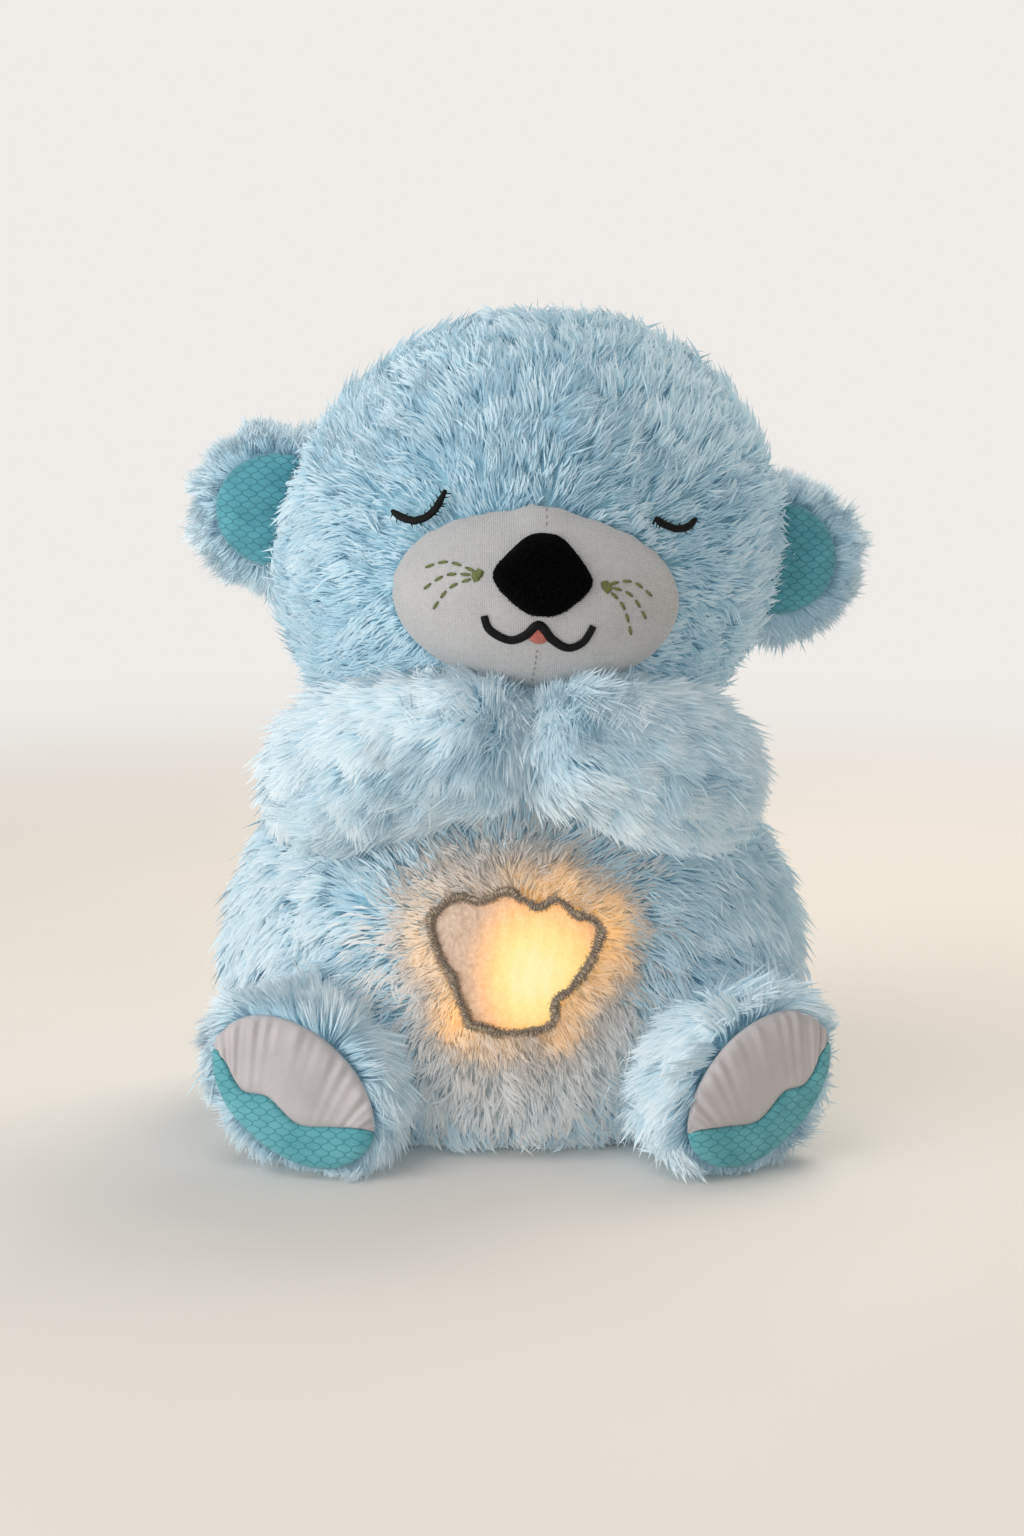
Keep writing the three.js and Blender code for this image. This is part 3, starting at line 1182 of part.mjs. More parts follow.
function addBoard() {
  const board = box(
    new THREE.Vector3(-BOARD_WIDTH / 2, BOARD_BACK, -BOARD_HEIGHT / 2),
    new THREE.Vector3(BOARD_WIDTH / 2, BOARD_BACK + BOARD_THICKNESS, BOARD_HEIGHT / 2),
  );
  addPiece(moduleGroup, 'lamp_board', board, finish(BOARD_GREEN, PLASTIC_ROUGHNESS));
  const boardFace = BOARD_BACK - SEWN_GAP;
  for (let i = 0; i < LAMP_COUNT; i++) {
    const angle = (2 * Math.PI * i) / LAMP_COUNT;
    const profile = [
      [0, boardFace],
      [LAMP_RADIUS, boardFace],
      [LAMP_RADIUS, boardFace - LAMP_HEIGHT / 2],
      [LAMP_TOP_RADIUS, boardFace - LAMP_SHOULDER],
      [0, boardFace - LAMP_HEIGHT],
    ];
    const place = new THREE.Matrix4().makeTranslation(
      LAMP_CIRCLE_RADIUS * Math.cos(angle), 0, LAMP_CIRCLE_RADIUS * Math.sin(angle),
    );
    const lamp = moved(turned(profile, SCREW_SIDES), place);
    addPiece(moduleGroup, `lamp_${i + 1}`, lamp, finish(LAMP_YELLOW, PLASTIC_ROUGHNESS));
  }
  const cup = turned([
    [REFLECTOR_FOOT_RADIUS, boardFace],
    [REFLECTOR_FOOT_RADIUS + REFLECTOR_WALL, boardFace],
    [REFLECTOR_RIM_RADIUS + REFLECTOR_WALL, pressedBack],
    [REFLECTOR_RIM_RADIUS, pressedBack],
    [REFLECTOR_FOOT_RADIUS, boardFace],
  ], LIMB_SIDES);
  addPiece(moduleGroup, 'reflector', cup, finish(PLASTIC_WHITE, METAL_ROUGHNESS));
  const switchX = -(REFLECTOR_RIM_RADIUS + REFLECTOR_WALL + SEWN_GAP + TOUCH_SWITCH_SIZE / 2);
  const body = box(
    new THREE.Vector3(switchX - TOUCH_SWITCH_SIZE / 2, boardFace - TOUCH_SWITCH_BODY, -TOUCH_SWITCH_SIZE / 2),
    new THREE.Vector3(switchX + TOUCH_SWITCH_SIZE / 2, boardFace, TOUCH_SWITCH_SIZE / 2),
  );
  const plungerFoot = boardFace - TOUCH_SWITCH_BODY / 2;
  const plunger = rod(TOUCH_SWITCH_PLUNGER_RADIUS, pressedBack, plungerFoot, switchX, 0, SCREW_SIDES);
  addPiece(moduleGroup, 'touch_switch', body.add(plunger), finish(VELVET_BLACK, PLASTIC_ROUGHNESS));
}

// Slide switch: a knob below the housing and a plate that rides on its lower wall
function addPowerSwitch() {
  const wallTop = housing.low + MODULE_WALL;
  const stem = box(
    new THREE.Vector3(knob.left, knob.front, housing.low - SWITCH_KNOB_STAND),
    new THREE.Vector3(knob.right, knob.back, wallTop + SEWN_GAP + SWITCH_PLATE / 2),
  );
  const plateLow = wallTop + SEWN_GAP;
  const plateReach = SWITCH_TRAVEL + SWITCH_PLATE_MARGIN;
  const plate = box(
    new THREE.Vector3(knob.left - plateReach, knob.front - SWITCH_PLATE_MARGIN, plateLow),
    new THREE.Vector3(knob.right + plateReach, knob.back + SWITCH_PLATE_MARGIN, plateLow + SWITCH_PLATE),
  );
  addPiece(moduleGroup, 'power_switch', stem.add(plate), finish(SWITCH_GREY, PLASTIC_ROUGHNESS));
}

// Flap of the pocket, with a round hinge edge, and its two strips
function addFlap() {
  const plate = box(
    new THREE.Vector3(flap.left, flap.front, flap.low),
    new THREE.Vector3(flap.right, flap.hingeY, flap.high),
  );
  const edgeRadius = FLAP_THICKNESS / 2;
  const edge = new THREE.CylinderGeometry(edgeRadius, edgeRadius, flap.right - flap.left, FLAP_EDGE_SIDES);
  edge.rotateZ(Math.PI / 2).translate((flap.left + flap.right) / 2, flap.hingeY, flap.hingeZ);
  addPiece(toy, 'pocket_flap', plate.add(solid(edge)), finish(FUR_PALE, FABRIC_ROUGHNESS));
  const stripAt = (low) => box(
    new THREE.Vector3(strip.left, strip.front, low),
    new THREE.Vector3(strip.right, strip.front + STRIP_WIDTH, low + STRIP_THICKNESS),
  );
  addPiece(toy, 'hook_strip', stripAt(strip.hookLow), finish(TAPE_WHITE, FABRIC_ROUGHNESS));
  addPiece(toy, 'loop_strip', stripAt(strip.loopLow), finish(TAPE_WHITE, FABRIC_ROUGHNESS));
}

addTorso();
addTail();
addBelly();
addHead();
addMuzzle();
EYELIDS.forEach((lid) => addEyelid(...lid));
addEar(-1, 'left', EAR_LEFT_LIFT_SHARE);
addEar(1, 'right', EAR_RIGHT_LIFT_SHARE);
addArm(-1, 'left');
addArm(1, 'right');
addLeg(-1, 'left', LEFT_TOE_OUT_DEGREES);
addLeg(1, 'right', RIGHT_TOE_OUT_DEGREES);
addFrontShell();
addRearShell();
addScrews();
addBatteryCover();
addBatteries();
addContacts();
addDome();
addBoard();
addPowerSwitch();
addFlap();

export default toy;
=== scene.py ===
"""Looks of a plush night light: a sleeping otter with a glowing window in its belly."""

import logging
import math
from collections.abc import Callable, Sequence
from dataclasses import dataclass, field
from enum import Enum

import bpy
import numpy as np
from mathutils import Matrix, Vector
from mathutils.bvhtree import BVHTree
from mathutils.kdtree import KDTree


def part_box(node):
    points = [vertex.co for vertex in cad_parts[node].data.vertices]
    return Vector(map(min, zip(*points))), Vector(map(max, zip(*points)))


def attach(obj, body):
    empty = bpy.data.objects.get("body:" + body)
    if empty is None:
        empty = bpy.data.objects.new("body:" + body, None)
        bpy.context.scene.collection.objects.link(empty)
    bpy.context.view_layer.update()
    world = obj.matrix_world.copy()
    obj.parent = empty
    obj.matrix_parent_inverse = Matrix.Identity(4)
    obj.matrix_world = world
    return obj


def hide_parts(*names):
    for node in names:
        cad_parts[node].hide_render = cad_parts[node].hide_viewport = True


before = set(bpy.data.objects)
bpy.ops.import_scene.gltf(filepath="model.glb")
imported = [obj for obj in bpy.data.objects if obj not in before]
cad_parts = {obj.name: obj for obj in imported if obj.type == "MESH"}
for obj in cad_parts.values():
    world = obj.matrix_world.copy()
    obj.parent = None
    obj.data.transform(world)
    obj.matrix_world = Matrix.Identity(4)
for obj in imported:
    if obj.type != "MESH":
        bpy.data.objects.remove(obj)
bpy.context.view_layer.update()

logging.basicConfig(level=logging.INFO, format="%(name)s: %(message)s")
log = logging.getLogger("night_light")

Array = np.ndarray
Piece = bpy.types.Object
Socket = bpy.types.NodeSocket
Material = bpy.types.Material
Mesh = bpy.types.Mesh
Pair = tuple[float, float]
Points = tuple[Pair, ...]
Field = Callable[[Array, Array], Array]
Zone = Callable[[Array], Array]
MM = 0.001
TURN = 2 * math.pi
BELLY_MIDDLE = (3 * MM, 58 * MM)
BELLY_HALF = (44 * MM, 58 * MM)
WINDOW_SPOT = np.array((1.0, -88.0, 70.5)) * MM


# Small tools


def linear(code: str) -> tuple[float, float, float, float]:
    """A written sRGB colour such as "a9c9dc" as linear numbers."""
    parts = [int(code[i : i + 2], 16) / 255 for i in (0, 2, 4)]
    low_end, low_slope, offset, power = 0.04045, 12.92, 0.055, 2.4
    steep = (((c + offset) / (1 + offset)) ** power if c > low_end else c / low_slope for c in parts)
    return (*steep, 1.0)


def mm(*values: float) -> Array:
    """Millimetres as a row of metres."""
    return np.array(values) * MM


def only(piece: Piece) -> None:
    """Selects one object and makes it active."""
    bpy.ops.object.select_all(action="DESELECT")
    piece.select_set(True)
    bpy.context.view_layer.objects.active = piece


def modify(piece: Piece, kind: str, **settings: object) -> None:
    """Adds a modifier with some settings and applies it."""
    only(piece)
    modifier = piece.modifiers.new(kind.title(), kind)
    for name, value in settings.items():
        setattr(modifier, name, value)
    bpy.ops.object.modifier_apply(modifier=modifier.name)


def places(mesh: Mesh) -> Array:
    """The vertex places of a mesh, one row each."""
    flat = np.empty(len(mesh.vertices) * 3, np.float32)
    mesh.vertices.foreach_get("co", flat)
    return flat.reshape(-1, 3).astype(float)


def directions(mesh: Mesh) -> Array:
    """The vertex normals of a mesh, one row each."""
    flat = np.empty(len(mesh.vertices) * 3, np.float32)
    mesh.vertex_normals.foreach_get("vector", flat)
    return flat.reshape(-1, 3).astype(float)


def set_places(mesh: Mesh, spots: Array) -> None:
    """Moves the vertices of a mesh."""
    mesh.vertices.foreach_set("co", spots.astype(np.float32).ravel())
    mesh.update()


def unit(rows: Array) -> Array:
    """Rows scaled to length one."""
    return rows / np.maximum(np.linalg.norm(rows, axis=1, keepdims=True), 1e-12)


def smooth(low: float, high: float, values: Array) -> Array:
    """A soft step from 0 at low to 1 at high."""
    t = np.clip((values - low) / (high - low), 0, 1)
    return t * t * (3 - 2 * t)


def ripple(spots: Array, size: float, seed: int) -> Array:
    """Gentle noise from about -1 to 1 over space, with waves of a size in metres."""
    rng = np.random.default_rng(seed)
    count, slowest, fastest, gain = 5, 0.7, 1.4, 1.6
    waves = rng.normal(size=(count, 3))
    waves = unit(waves) * (TURN / size) * rng.uniform(slowest, fastest, (count, 1))
    return np.sin(spots @ waves.T + rng.uniform(0, 6.3, count)).sum(axis=1) / count * gain


def swirl(spots: Array, size: float, seed: int) -> Array:
    """Gentle noise in three directions, one row for each place."""
    return np.stack([ripple(spots, size, seed + i) for i in range(3)], axis=1)


def run_along(line: Array) -> Array:
    """How far each place of a line is from its start, along the line."""
    return np.concatenate([[0], np.cumsum(np.linalg.norm(np.diff(line, axis=0), axis=1))])


def along_line(steps: Array, run: Array, line: Array) -> Array:
    """Places at some distances along a flat line whose run is known."""
    return np.stack([np.interp(steps, run, line[:, 0]), np.interp(steps, run, line[:, 1])], axis=1)


def triangles(mesh: Mesh) -> Array:
    """The vertex numbers of a mesh's triangles, one row each."""
    mesh.calc_loop_triangles()
    index = np.empty(len(mesh.loop_triangles) * 3, np.int32)
    mesh.loop_triangles.foreach_get("vertices", index)
    return index.reshape(-1, 3)


def chance(spots: Array, seed: int) -> Array:
    """A number from 0 to 1 for each place."""
    return np.random.default_rng(seed).random(len(spots))


def mesh_piece(name: str, spots: Array, faces: Array | Sequence, is_smooth: bool = True) -> Piece:
    """A new object from places and faces.

    Args:
        name: Name of the piece.
        spots: Vertex places in metres.
        faces: Vertex numbers of each face, all of one count or mixed.
        is_smooth: Whether the faces are shaded smooth.

    Returns:
        The object, linked to the scene.
    """
    mesh = bpy.data.meshes.new(name)
    if isinstance(faces, np.ndarray):
        count, corners = faces.shape
        mesh.vertices.add(len(spots))
        mesh.vertices.foreach_set("co", spots.astype(np.float32).ravel())
        mesh.loops.add(count * corners)
        mesh.loops.foreach_set("vertex_index", faces.astype(np.int32).ravel())
        mesh.polygons.add(count)
        mesh.polygons.foreach_set("loop_start", np.arange(0, count * corners, corners, dtype=np.int32))
        mesh.update(calc_edges=True)
    else:
        mesh.from_pydata([tuple(p) for p in spots], [], [tuple(f) for f in faces])
    mesh.polygons.foreach_set("use_smooth", np.full(len(mesh.polygons), is_smooth))
    mesh.validate()
    piece = bpy.data.objects.new(name, mesh)
    bpy.context.collection.objects.link(piece)
    return piece


def mend(piece: Piece, merge: bool = False, turn_out: bool = False) -> None:
    """Merges a mesh's doubled vertices, turns its faces outward, or both."""
    weld = 1e-6
    only(piece)
    bpy.ops.object.mode_set(mode="EDIT")
    bpy.ops.mesh.select_all(action="SELECT")
    if merge:
        bpy.ops.mesh.remove_doubles(threshold=weld)
    if turn_out:
        bpy.ops.mesh.normals_make_consistent(inside=False)
    bpy.ops.object.mode_set(mode="OBJECT")


def write_map(mesh: Mesh, name: str, per_vertex: Array) -> None:
    """Gives a mesh a UV map from one pair of numbers per vertex."""
    layer = mesh.uv_layers.new(name=name)
    index = np.empty(len(mesh.loops), np.int32)
    mesh.loops.foreach_get("vertex_index", index)
    layer.data.foreach_set("uv", per_vertex[index].astype(np.float32).ravel())


def settle(
    piece: Piece, body: str, finish: "Finish", stands_for: Sequence[str] = ()
) -> Piece:
    """Dresses a finished piece and fixes it to a body.

    Args:
        piece: The object.
        body: Name of the body it rides on.
        finish: What it is covered in.
        stands_for: Nodes that it replaces.

    Returns:
        The same object.
    """
    piece.data.materials.clear()
    piece.data.materials.append(finish.material())
    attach(piece, body)
    if stands_for:
        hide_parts(*stands_for)
    log.info("%s: %d faces on %s", piece.name, len(piece.data.polygons), body)
    return piece


# Finishes


class Nodes:
    """A short way to write a material's nodes."""

    def __init__(self, name: str) -> None:
        """Starts an empty material with a Principled shader."""
        self.made = bpy.data.materials.new(name)
        self.made.use_nodes = True
        self.tree = self.made.node_tree
        self.shader = self.tree.nodes["Principled BSDF"]

    def add(self, kind: str, **fields: object) -> bpy.types.Node:
        """A new node with some of its fields set."""
        node = self.tree.nodes.new(kind)
        for name, value in fields.items():
            setattr(node, name, value)
        return node

    def join(self, source: Socket, target: Socket) -> None:
        """Links two sockets."""
        self.tree.links.new(source, target)

    def math(
        self, operation: str, first: object, second: object = 0.0, third: object = 0.0
    ) -> Socket:
        """A Math node's result from numbers or sockets."""
        node = self.add("ShaderNodeMath", operation=operation)
        for i, value in enumerate((first, second, third)):
            if isinstance(value, Socket):
                self.join(value, node.inputs[i])
            else:
                node.inputs[i].default_value = value
        return node.outputs[0]

    def ramp(self, value: Socket, stops: Sequence[tuple[float, str]]) -> Socket:
        """Colours along a value, from pairs of place and sRGB code."""
        node = self.add("ShaderNodeValToRGB")
        points = node.color_ramp.elements
        while len(points) < len(stops):
            points.new(0.5)
        for point, (place, code) in zip(points, stops):
            point.position = place
            point.color = linear(code)
        self.join(value, node.inputs[0])
        return node.outputs[0]

    def blend(self, mode: str, share: object, first: object, second: object) -> Socket:
        """Mixes two colours, each a socket or an sRGB code."""
        node = self.add("ShaderNodeMix", data_type="RGBA", blend_type=mode)
        for socket, value in ((node.inputs[0], share), (node.inputs[6], first), (node.inputs[7], second)):
            if isinstance(value, Socket):
                self.join(value, socket)
            else:
                socket.default_value = linear(value) if isinstance(value, str) else value
        return node.outputs[2]

    def spot(self) -> Socket:
        """Object coordinates."""
        return self.add("ShaderNodeTexCoord").outputs["Object"]

    def own_map(self, name: str) -> tuple[Socket, Socket]:
        """The two numbers of a UV map."""
        split = self.add("ShaderNodeSeparateXYZ")
        self.join(self.add("ShaderNodeUVMap", uv_map=name).outputs[0], split.inputs[0])
        return split.outputs[0], split.outputs[1]

    def noise(self, where: Socket, scale: float, detail: float = 3.0) -> Socket:
        """Noise at some places."""
        node = self.add("ShaderNodeTexNoise")
        node.inputs["Scale"].default_value = scale
        node.inputs["Detail"].default_value = detail
        self.join(where, node.inputs["Vector"])
        return node.outputs["Fac"]

    def waves(self, where: Socket, axis: str, scale: float, distortion: float = 0.0) -> Socket:
        """Straight bands along an axis."""
        node = self.add("ShaderNodeTexWave", wave_type="BANDS", bands_direction=axis)
        node.inputs["Scale"].default_value = scale
        node.inputs["Distortion"].default_value = distortion
        self.join(where, node.inputs["Vector"])
        return node.outputs["Fac"]

    def bump(self, height: Socket, depth: float, strength: float = 0.6) -> None:
        """Puts a bump on the shader."""
        node = self.add("ShaderNodeBump")
        node.inputs["Strength"].default_value = strength
        node.inputs["Distance"].default_value = depth
        self.join(height, node.inputs["Height"])
        self.join(node.outputs[0], self.shader.inputs["Normal"])

    def shine(self, colour: Socket, strength: float) -> None:
        """Makes the surface give light of its own."""
        self.join(colour, self.shader.inputs["Emission Color"])
        self.shader.inputs["Emission Strength"].default_value = strength

    def surface(self, colour: object, roughness: float, **constants: object) -> Material:
        """Sets the shader's colour, roughness and other sockets, named with underscores for spaces."""
        base = self.shader.inputs["Base Color"]
        if isinstance(colour, Socket):
            self.join(colour, base)
        else:
            base.default_value = linear(colour)
        self.shader.inputs["Roughness"].default_value = roughness
        for name, value in constants.items():
            self.shader.inputs[name.replace("_", " ")].default_value = value
        return self.made


class Finish:
    """A finish that makes its material once."""

    name: str

    def build(self, n: Nodes) -> Material:
        """Fills in the material's nodes."""
        raise NotImplementedError

    def material(self) -> Material:
        """The material, made on first use."""
        key = repr(self)
        if key not in _MADE:
            _MADE[key] = self.build(Nodes(self.name))
        return _MADE[key]


_MADE: dict[str, Material] = {}


@dataclass(frozen=True)
class TwoTone(Finish):
    """A finish that mixes a light and a dark shade."""

    name: str
    light: str
    dark: str


@dataclass(frozen=True)
class Pile(Finish):
    """Long plush pile whose colour runs from darker roots to paler tips, partly its own colour and partly
    painted shade deep in the pile and painted highlight at the tips.

    Each lock carries two numbers: its tint, and the place between root and tip.
    """

    name: str
    root: str
    middle: str
    tip: str
    dull: str
    bright: str
    # Painted lamp light of a pile by the window: its glow colour, the warm wash painted into its colour, and
    # their share and strength.
    glow: str = ""
    sheen: float = 0.25
    # Painted light: the pile shines faintly in its own colour, lifting the shade between the locks.
    through: float = 0.13
    glow_wash: str = "ffdc9c"
    glow_share: float = 0.45
    glow_strength: float = 0.55
    # Painted light: the dim tone of the pile's faint glow away from the window.
    fill_glow_tone: str = "858585"

    def build(self, n: Nodes) -> Material:
        """Fills in the material's nodes."""
        tint, reach = n.own_map("OFBake")
        # Darker roots are partly painted shade deep in the pile, paler tips partly painted highlight.
        along = n.ramp(reach, [(0.0, self.root), (0.5, self.middle), (1.0, self.tip)])
        shade = n.ramp(n.math("MULTIPLY", tint, 2.0), [(0.0, self.dull), (1.0, self.bright)])
        colour = n.blend("MULTIPLY", 1.0, along, shade)
        # Painted lamp light: above a tint of a half the pile takes on a warm wash and glows in the lamp's
        # colour; below it, it shines faintly in its own dimmed colour, painted light that lifts the shade
        # between the locks.
        if self.glow:
            warm = n.math("MULTIPLY", n.math("SUBTRACT", tint, 0.5), 2.0)
            share = n.math("MAXIMUM", warm, 0.0)
            colour = n.blend("MIX", n.math("MULTIPLY", share, self.glow_share), colour, self.glow_wash)
            dim = n.blend("MULTIPLY", 1.0, colour, self.fill_glow_tone)
            n.shine(n.blend("MIX", share, dim, self.glow), self.glow_strength)
        # Painted light: a faint light of the pile's own colour that lifts the shade between its locks.
        elif self.through:
            n.shine(colour, self.through)
        shine = {"Sheen_Weight": self.sheen, "Sheen_Roughness": 0.5, "Specular_IOR_Level": 0.6 * self.sheen}
        return n.surface(colour, 0.85, **shine)


@dataclass(frozen=True)
class Backing(TwoTone):
    """Knitted ground that the pile is rooted in."""

    sheen: float = 0.3

    def build(self, n: Nodes) -> Material:
        """Fills in the material's nodes."""
        where = n.spot()
        fleck = n.noise(where, 900.0, 4.0)
        colour = n.ramp(fleck, [(0.3, self.dark), (0.7, self.light)])
        n.bump(fleck, 0.0015, 0.8)
        return n.surface(self.spread(n, colour), 0.95, Sheen_Weight=self.sheen, Specular_IOR_Level=self.sheen)

    def spread(self, n: Nodes, colour: Socket) -> Socket:
        """The colour over the whole cloth; plain unless a finish says more."""
        return colour


@dataclass(frozen=True)
class BellyBacking(Backing):
    """Ground that turns pale in the belly's oval, and glows with painted warm lamp light by the window."""

    pale: str = "d6dfe2"
    # Painted lamp light: the warm colour that the ground glows with by the window.
    warm: str = "ffb65a"
    middle: Pair = BELLY_MIDDLE
    half: Pair = BELLY_HALF
    lamp: Pair = (6 * MM, 68 * MM)
    reach: Pair = (34 * MM, 31 * MM)
    front_y: float = -30 * MM
    strength: float = 0.12

    def spread(self, n: Nodes, colour: Socket) -> Socket:
        """The pale oval, with the lamp's light added to it."""
        split = n.add("ShaderNodeSeparateXYZ")
        n.join(n.spot(), split.inputs[0])
        x, y, z = split.outputs

        def oval(middle: Pair, half: Pair) -> Socket:
            """Distance from a middle in shares of an oval's halves."""
            across = n.math("DIVIDE", n.math("SUBTRACT", x, middle[0]), half[0])
            up = n.math("DIVIDE", n.math("SUBTRACT", z, middle[1]), half[1])
            squares = (n.math("MULTIPLY", across, across), n.math("MULTIPLY", up, up))
            return n.math("SQRT", n.math("ADD", *squares))

        front = n.math("LESS_THAN", y, self.front_y)
        patch = n.ramp(oval(self.middle, self.half), [(0.8, "ffffff"), (1.0, "000000")])
        lit = n.ramp(oval(self.lamp, self.reach), [(0.7, "ffffff"), (1.0, "000000")])
        glow = n.math("MULTIPLY", lit, front)
        n.shine(n.blend("MIX", glow, "000000", self.warm), self.strength)
        return n.blend("MIX", n.math("MULTIPLY", patch, front), colour, self.pale)


@dataclass(frozen=True)
class Knit(Finish):
    """Fine off-white knit of the muzzle."""

    name: str = "off_white_knit"
    light: str = "cfd0d2"
    dark: str = "b2b3b5"
    weave: float = 540.0

    def build(self, n: Nodes) -> Material:
        """Fills in the material's nodes."""
        where = n.spot()
        across = n.waves(where, "X", self.weave, 1.6)
        up = n.waves(where, "Z", self.weave, 1.6)
        weave = n.math("MULTIPLY", n.math("ADD", across, up), 0.5)
        fleck = n.noise(where, 700.0, 4.0)
        cloud = n.noise(where, 60.0, 2.0)
        level = n.math("ADD", n.math("MULTIPLY", fleck, 0.4), n.math("MULTIPLY", cloud, 0.3))
        level = n.math("MULTIPLY_ADD", weave, 0.26, level)
        colour = n.ramp(level, [(0.25, self.dark), (0.75, self.light)])
        n.bump(n.math("ADD", n.math("MULTIPLY", weave, 0.7), fleck), 0.0005, 0.8)
        return n.surface(colour, 0.92, Sheen_Weight=0.35, Specular_IOR_Level=0.25)


@dataclass(frozen=True)
class Thread(TwoTone):
    """Embroidery thread laid side by side; the map's first number runs along the row."""

    threads: float = 1500.0
    sheen: float = 0.2

    def build(self, n: Nodes) -> Material:
        """Fills in the material's nodes."""
        place, _ = n.own_map("Run")
        rib = n.math("SINE", n.math("MULTIPLY", place, self.threads))
        level = n.math("MULTIPLY_ADD", rib, 0.3, 0.5)
        fleck = n.math("MULTIPLY", n.noise(n.spot(), 900.0), 0.4)
        mixed = n.math("ADD", n.math("MULTIPLY", level, 0.6), fleck)
        colour = n.ramp(mixed, [(0.2, self.dark), (0.8, self.light)])
        n.bump(level, 0.0004, 0.7)
        return n.surface(colour, 0.6, Sheen_Weight=self.sheen, Specular_IOR_Level=0.15 + self.sheen)


@dataclass(frozen=True)
class Twist(TwoTone):
    """Twisted cord with light and dark turns."""

    pitch: float

    def build(self, n: Nodes) -> Material:
        """Fills in the material's nodes."""
        run, turn = n.own_map("Run")
        angle = n.math("MULTIPLY", n.math("MULTIPLY_ADD", run, 1 / self.pitch, turn), TURN)
        ridge = n.math("MULTIPLY_ADD", n.math("SINE", angle), 0.35, 0.5)
        fleck = n.noise(n.spot(), 1100.0, 4.0)
        level = n.math("ADD", n.math("MULTIPLY", ridge, 0.6), n.math("MULTIPLY", fleck, 0.4))
        n.bump(fleck, 0.0006, 0.7)
        return n.surface(n.ramp(level, [(0.25, self.dark), (0.75, self.light)]), 0.9, Sheen_Weight=0.2)


@dataclass(frozen=True)
class Satin(Finish):
    """Pale satin with a fine weave."""

    name: str = "cream_satin"

    def build(self, n: Nodes) -> Material:
        """Fills in the material's nodes."""
        where = n.spot()
        cloud = n.noise(where, 45.0, 3.0)
        weave = n.waves(where, "DIAGONAL", 700.0, 0.8)
        colour = n.ramp(cloud, [(0.3, "b3afb1"), (0.7, "c6c1c3")])
        n.bump(n.math("ADD", n.math("MULTIPLY", weave, 0.3), n.noise(where, 260.0, 4.0)), 0.0004, 0.45)
        return n.surface(colour, 0.5, Sheen_Weight=0.25, Specular_IOR_Level=0.45)


@dataclass(frozen=True)
class Lattice(Finish):
    """Teal cloth with a printed lattice; the map holds metres on the cloth."""

    name: str
    pitch: float
    ground: str
    line: str
    pale: str
    tall: float = 1.25
    bow: float = 0.08

    def build(self, n: Nodes) -> Material:
        """Fills in the material's nodes."""
        across, up = n.own_map("Cloth")
        stretch = n.math("MULTIPLY", up, self.tall)
        lines = []
        for first, second in (("ADD", "SUBTRACT"), ("SUBTRACT", "ADD")):
            mixed = n.math(first, across, stretch)
            phase = n.math("MULTIPLY", n.math(second, across, stretch), TURN / self.pitch)
            bend = n.math("MULTIPLY", n.math("SINE", phase), self.bow)
            cell = n.math("FRACT", n.math("ADD", n.math("DIVIDE", mixed, self.pitch), bend))
            lines.append(n.math("ABSOLUTE", n.math("SUBTRACT", cell, 0.5)))
        nearest = n.math("MAXIMUM", lines[0], lines[1])
        edge = n.ramp(nearest, [(0.42, "000000"), (0.475, "ffffff")])
        cloud = n.noise(n.spot(), 120.0, 3.0)
        ground = n.ramp(cloud, [(0.3, self.ground), (0.7, self.pale)])
        colour = n.blend("MIX", n.math("MULTIPLY", edge, 0.75), ground, self.line)
        n.bump(n.math("ADD", n.noise(n.spot(), 500.0, 4.0), n.math("MULTIPLY", edge, -0.5)), 0.0004, 0.5)
        return n.surface(colour, 0.7, Sheen_Weight=0.3, Specular_IOR_Level=0.35)


@dataclass(frozen=True)
class GlowFleece(Finish):
    """Thin cream fleece with a lamp behind it; the map's first number is the light."""

    name: str = "lit_fleece"
    lights: tuple[tuple[float, str], ...] = (
        (0.0, "000000"), (0.15, "64401f"), (0.4, "d49244"), (0.64, "f3c266"), (0.84, "fbe08a"),
        (1.0, "fdeeb0"),
    )
    strength: float = 0.85

    def build(self, n: Nodes) -> Material:
        """Fills in the material's nodes."""
        light, _ = n.own_map("Light")
        where = n.spot()
        fleck = n.noise(where, 600.0, 4.0)
        base = n.ramp(fleck, [(0.3, "ccb09a"), (0.7, "e6d0bd")])
        cloud = n.math("SUBTRACT", n.noise(where, 170.0, 3.0), 0.5)
        uneven = n.math("ADD", light, n.math("MULTIPLY", cloud, 0.12))
        base = n.blend("MIX", n.math("MULTIPLY", light, 0.75), base, "8a5a24")
        n.shine(n.ramp(uneven, self.lights), self.strength)
        n.bump(fleck, 0.0012, 0.7)
        return n.surface(base, 0.95, Sheen_Weight=0.3)


@dataclass(frozen=True)
class Plain(TwoTone):
    """Moulded plastic, board lacquer or film with a fine texture of its own."""

    roughness: float
    grain: float = 300.0
    depth: float = 0.0001
    metallic: float = 0.0
    coat: float = 0.0

    def build(self, n: Nodes) -> Material:
        """Fills in the material's nodes."""
        fleck = n.noise(n.spot(), self.grain, 4.0)
        colour = n.ramp(fleck, [(0.3, self.dark), (0.7, self.light)])
        n.bump(fleck, self.depth, 0.4)
        return n.surface(colour, self.roughness, Metallic=self.metallic, Coat_Weight=self.coat)


